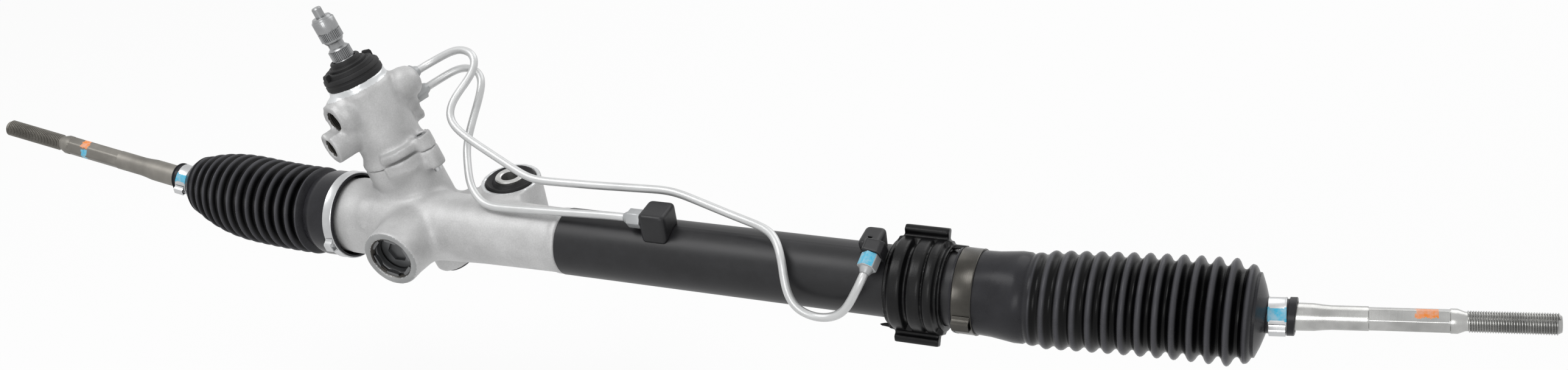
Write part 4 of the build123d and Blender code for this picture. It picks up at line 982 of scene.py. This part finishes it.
def routes():
    """Corner points of both pipes, from the valve housing to the tube, in millimetres."""
    facing = pinion_facing(PIPE_ANGLE)
    short_seat, long_seat = (pinion_place(PIPE_ANGLE, s, PIPE_FACE) for s in (SHORT_BOSS, LONG_BOSS))
    short = [short_seat - facing * 4, short_seat + facing * VALVE_STUB, Vector((-49, 40, 103)),
             Vector((-29, 37, 100)), Vector((-24, 26, 93)), Vector((-27, 4, 70)),
             Vector((-26, -12, 58)), Vector((-9, -42, 39)),
             Vector((9, -53.3, 29.8)), Vector((70, -53.3, 32.5)), LEFT_PORT[0] + LEFT_PORT[1] * 26,
             LEFT_PORT[0] - LEFT_PORT[1] * 4]
    long = [long_seat - facing * 4, long_seat + facing * VALVE_STUB, Vector((-44, 34, 123)),
            Vector((-23, 28, 121)), Vector((-22, 20, 111)), Vector((-37, -4, 92)),
            Vector((-36, -14, 82)), Vector((-18, -20, 72)),
            Vector((44, -33, 46)), Vector((100, -31, 46)), Vector((168, -31, 49)), Vector((217, -38, 38)),
            Vector((256, -50, 36)), Vector((269, -68, 30)), Vector((274, -80, 6)), Vector((281, -84, -7)),
            Vector((300, -84, -13)), Vector((318, -83, -7)),
            RIGHT_PORT[0] + RIGHT_PORT[1] * 28, RIGHT_PORT[0] - RIGHT_PORT[1] * 4]
    return {"short": short, "long": long}


def bent(corners, spacing=2.0, rounds=42):
    """Even steps along a route, relaxed until its corners bend as a tube does."""
    steps = []
    for start, end in zip(corners, corners[1:]):
        count = max(2, round((end - start).length / spacing))
        steps += [start.lerp(end, number / count) for number in range(count)]
    steps.append(corners[-1])
    for _ in range(rounds):
        relaxed = [(before + after) / 4 + here / 2
                   for before, here, after in zip(steps, steps[1:], steps[2:])]
        steps = steps[:STRAIGHT] + relaxed[STRAIGHT - 1:1 - STRAIGHT] + steps[-STRAIGHT:]
    return steps


class RACK_OT_pipes(bpy.types.Operator):
    """Bent cylinder pipes and their four union nuts."""
    bl_idname = "rack.pipes"
    bl_label = "Cylinder pipes"

    def execute(self, context):
        for name, corners in routes().items():
            steps = bent(corners)
            curve = bpy.data.curves.new(f"run_{name}", "CURVE")
            curve.dimensions, curve.bevel_depth, curve.bevel_resolution = "3D", PIPE_R * MM, 4
            curve.use_fill_caps = True
            run = curve.splines.new("POLY")
            run.points.add(len(steps) - 1)
            for point, place in zip(run.points, steps):
                point.co = (*(place * MM), 1)
            bm = shape_of(placed(f"run_{name}", curve))
            bmesh.ops.remove_doubles(bm, verts=bm.verts, dist=1e-6)
            piece = finish_piece(bm, f"bent_pipe_{name}", FINISH["pipe"], "housing")
            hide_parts(f"pipe_{name}")
        seats = [(pinion_place(PIPE_ANGLE, height, PIPE_FACE), pinion_facing(PIPE_ANGLE))
                 for height in (SHORT_BOSS, LONG_BOSS)]
        seats += [LEFT_PORT, (RIGHT_PORT[0] + RIGHT_PORT[1] * NUT_STANDS_OFF, RIGHT_PORT[1])]
        bm = bmesh.new()
        for seat, facing in seats:
            turn = Vector((0, 0, 1)).rotation_difference(facing).to_matrix().to_4x4()
            place = Matrix.Translation((seat + facing * NUT_LENGTH / 2) * MM) @ turn
            hexagon = bmesh.ops.create_cone(bm, cap_ends=True, segments=6, radius1=NUT_R * MM,
                                            radius2=NUT_R * MM, depth=NUT_LENGTH * MM, matrix=place)
            rims = {edge for vert in hexagon["verts"] for edge in vert.link_edges}
            bmesh.ops.bevel(bm, geom=list(rims), offset=NUT_CHAMFER * MM, affect="EDGES", segments=2,
                            profile=0.5, material=-1)
            turned(bm, [(-4, PIPE_R), (-4, 5), (-0.2, 5), (0, 5.6), (0.2, 5.6), (0.2, PIPE_R)],
                   seat, facing, 32)
            turned(bm, [(10.8, PIPE_R), (10.8, 5.4), (13.0, 4.6), (14.4, 3.9), (15.4, PIPE_R)],
                   seat, facing, 32)
        piece = finish_piece(bm, "union_nuts", FINISH["nut"], "housing")
        # paint on the near flats of the right union's nut
        seat, facing = seats[-1]
        paint_faces(piece, FINISH["first_mark"], lambda place: (place - seat).length < 11
                    and 0.3 < (place - seat).dot(facing) < 11 and place.x < seat.x + 2.5
                    and (place - seat - facing * 4).dot(PAINT_SIDE) > 3)
        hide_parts("pipe_nuts")
        return {"FINISHED"}


# ---- boots -----------------------------------------------------------------------------------
BOOTS = {
    "left": dict(cuff=((-127, 35.4), (-150, 35.4), (-158.4, 33.0)), folds=(-164.1, -274.6), bow=3.2, count=13,
                 crest=(36.8, 36.8), depth=(6.4, 4.0), first_drop=0.0, taper=(6, 10.5),
                 tip=((-278.2, 25.0), (-282.6, 21.0), (-286.2, 16.4), (-289.6, 13.0)),
                 seams=(-236.0, -262.0), stretch=-150.0),
    "right": dict(cuff=((394, 30.8), (395.6, 31.0), (396, 30.0), (412, 30.0), (421, 30.4), (429, 31.4),
                        (437, 32.4), (443, 32.2)), folds=(449.3, 592), bow=-2.4, count=14,
                  crest=(34.4, 36.5), depth=(2.0, 6.5), first_drop=1.7, taper=(12, 3.4),
                  tip=((597.2, 28.4), (600.2, 21.0), (602.2, 14.6)), seams=(545.0, 575.0), stretch=412.0),
}
DENT_X, DENT_SIDE = 427, Vector((0, -0.75, 0.66))        # a hollow where the right boot's neck was handled,
DENT_DEPTH, DENT_LENGTH, DENT_WIDTH = 1.5, 10, 0.34      # its depth, and how fast it fades along and around
CUFF_SHEEN = 0.5                                         # painted sheen of the smooth cuffs, against a crest's
FOLD_STEPS = 10                                          # rows of points to a fold


def boot_lean(side, x):
    """Offset of a boot's centre line from the rack's axis at one X."""
    ball_x, outward, pitch, yaw = BALLS[side]
    way = rod_way(side)
    start = BOOTS[side]["folds"][0]
    free = SMALL_BANDS[side][0] - 4
    length = abs(ball_x + way.x * free - start)
    share = max(0.0, (x - start) * outward / length)
    slope = Vector((0, way.y, way.z)) * (length / abs(way.x))
    reach = Vector((0, way.y, way.z)) * free
    if share > 1:
        return reach + slope * (share - 1)
    if side == "right":
        return reach * sin(share * pi / 2)
    return reach * (3 * share ** 2 - 2 * share ** 3) + slope * (share ** 3 - share ** 2)


def fold_radius(boot, fold):
    """Outer radius of a boot at a whole or part fold number."""
    last = boot["count"] - 1
    share = min(max(fold / last, 0), 1)
    crest = boot["crest"][0] + (boot["crest"][1] - boot["crest"][0]) * share
    crest -= boot["first_drop"] * max(0, 1 - max(fold, 0))
    begins, drop = boot["taper"]
    crest -= drop * max(0, (min(fold, last) - begins) / (last - begins)) ** 2.2
    depth = boot["depth"][0] + (boot["depth"][1] - boot["depth"][0]) * share
    wave = cos(2 * pi * fold)
    wave *= 1.28 - 0.28 * abs(wave)                              # crests a little flatter than a sine
    return crest - depth * (1 - wave) / 2


def crest_share(boot, outward, x):
    """How near a fold's crest an X lies: one on a crest, none in a groove."""
    first, last = boot["folds"]
    if (x - first) * outward < 0 or (x - last) * outward > 0:
        return CUFF_SHEEN
    share = (x - first) / (last - first)
    for _ in range(4):
        share = (x - outward * boot["bow"] * 4 * share * (1 - share) - first) / (last - first)
    return max(0.0, cos(2 * pi * share * (boot["count"] - 1)))


def boot_profile(side):
    """(x, radius) points of a boot's outer skin from its large cuff to its small end."""
    boot = BOOTS[side]
    ball_x, outward, pitch, yaw = BALLS[side]
    way = rod_way(side)
    first, last = boot["folds"]
    points = list(boot["cuff"])
    count = boot["count"] - 1
    for step in range(-4, count * FOLD_STEPS + 4):
        share = step / FOLD_STEPS / count
        x = first + (last - first) * share + outward * boot["bow"] * 4 * share * (1 - share)
        points.append((x, fold_radius(boot, step / FOLD_STEPS)))
    low, high, lip = SMALL_BANDS[side]
    points += boot["tip"]
    points += [(ball_x + way.x * along, radius) for along, radius in (
        (low - 0.6, SMALL_BAND_R + 0.1), (high + 0.3, SMALL_BAND_R), (high + 0.7, 12.9),
        (high + lip - 0.5, 12.9), (high + lip, 12.2))]
    return points


def boot_length(points, outward, seams, part):
    """Points of one of a boot's three lengths, up to the first point of the next."""
    ends = [x * outward for x in (points[0][0], *seams, points[-1][0])]
    inside = [n for n, (x, radius) in enumerate(points)
              if ends[part] - 1e-6 <= x * outward <= ends[part + 1] + 1e-6]
    return points[inside[0]:inside[-1] + 2]


class RACK_OT_boots(bpy.types.Operator):
    """Bellows boots, each in three lengths, with a centre line that runs from the rack's axis toward the tie
    rod.
    """
    bl_idname = "rack.boots"
    bl_label = "Boots"

    def execute(self, context):
        sizes = context.scene.rack_sizes
        wall = sizes.boot_wall / MM
        for side, boot in BOOTS.items():
            ball_x, outward, pitch, yaw = BALLS[side]
            points = boot_profile(side)
            for part in range(3):
                skin = boot_length(points, outward, boot["seams"], part)
                inside = [(x, r - wall) for x, r in reversed(skin)]
                bm = bmesh.new()
                turned(bm, skin + inside, (0, RACK_Y, 0), (1, 0, 0), steps=sizes.boot_steps)
                # how near a crest each point lies: full painted sheen on a crest, painted shade in a groove
                sheen_layer = bm.verts.layers.float.new("crest")
                for vert in bm.verts:
                    place = vert.co / MM
                    vert[sheen_layer] = crest_share(boot, outward, place.x)
                    if side == "right":
                        out = Vector((0, place.y - RACK_Y, place.z)).normalized()
                        along, around = (place.x - DENT_X) / DENT_LENGTH, (out - DENT_SIDE).length / DENT_WIDTH
                        away = along ** 2 + around ** 2
                        vert.co -= out * DENT_DEPTH * exp(-away) * MM
                    vert.co += boot_lean(side, place.x) * MM
                piece = finish_piece(bm, f"bellows_{side}_{part + 1}", FINISH["bellows"])
                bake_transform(piece)
                if part == 0:
                    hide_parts(f"boot_{side}")
        return {"FINISHED"}


# ---- panel and run ---------------------------------------------------------------------------
class RACK_PT_panel(bpy.types.Panel):
    """Lists the rack's pieces."""
    bl_idname = "RACK_PT_panel"
    bl_label = "Steering rack"
    bl_space_type = "VIEW_3D"
    bl_region_type = "UI"
    bl_category = "Rack"

    def draw(self, context):
        for settings in (context.scene.rack_sizes, context.scene.rack_colours):
            for name in settings.bl_rna.properties.keys():
                if name not in ("rna_type", "name"):
                    self.layout.prop(settings, name)
        for step in STEPS:
            self.layout.operator(step.bl_idname)


STEPS = (RACK_OT_finishes, RACK_OT_stage, RACK_OT_gear_housing, RACK_OT_valve_housing, RACK_OT_unions,
         RACK_OT_input_shaft, RACK_OT_dust_cover, RACK_OT_tie_rods, RACK_OT_clamps, RACK_OT_mount_block,
         RACK_OT_bush, RACK_OT_guide, RACK_OT_pipes, RACK_OT_boots)
CLASSES = (RACK_PG_sizes, RACK_PG_colours, *STEPS, RACK_PT_panel)


def register():
    for cls in CLASSES:
        bpy.utils.register_class(cls)
    bpy.types.Scene.rack_sizes = PointerProperty(type=RACK_PG_sizes)
    bpy.types.Scene.rack_colours = PointerProperty(type=RACK_PG_colours)


def unregister():
    del bpy.types.Scene.rack_sizes
    del bpy.types.Scene.rack_colours
    for cls in reversed(CLASSES):
        bpy.utils.unregister_class(cls)


def main():
    """Registers the add-on and makes the pieces in order."""
    register()
    for step in STEPS:
        group, name = step.bl_idname.split(".")
        getattr(getattr(bpy.ops, group), name)()


if __name__ == "__main__":
    main()
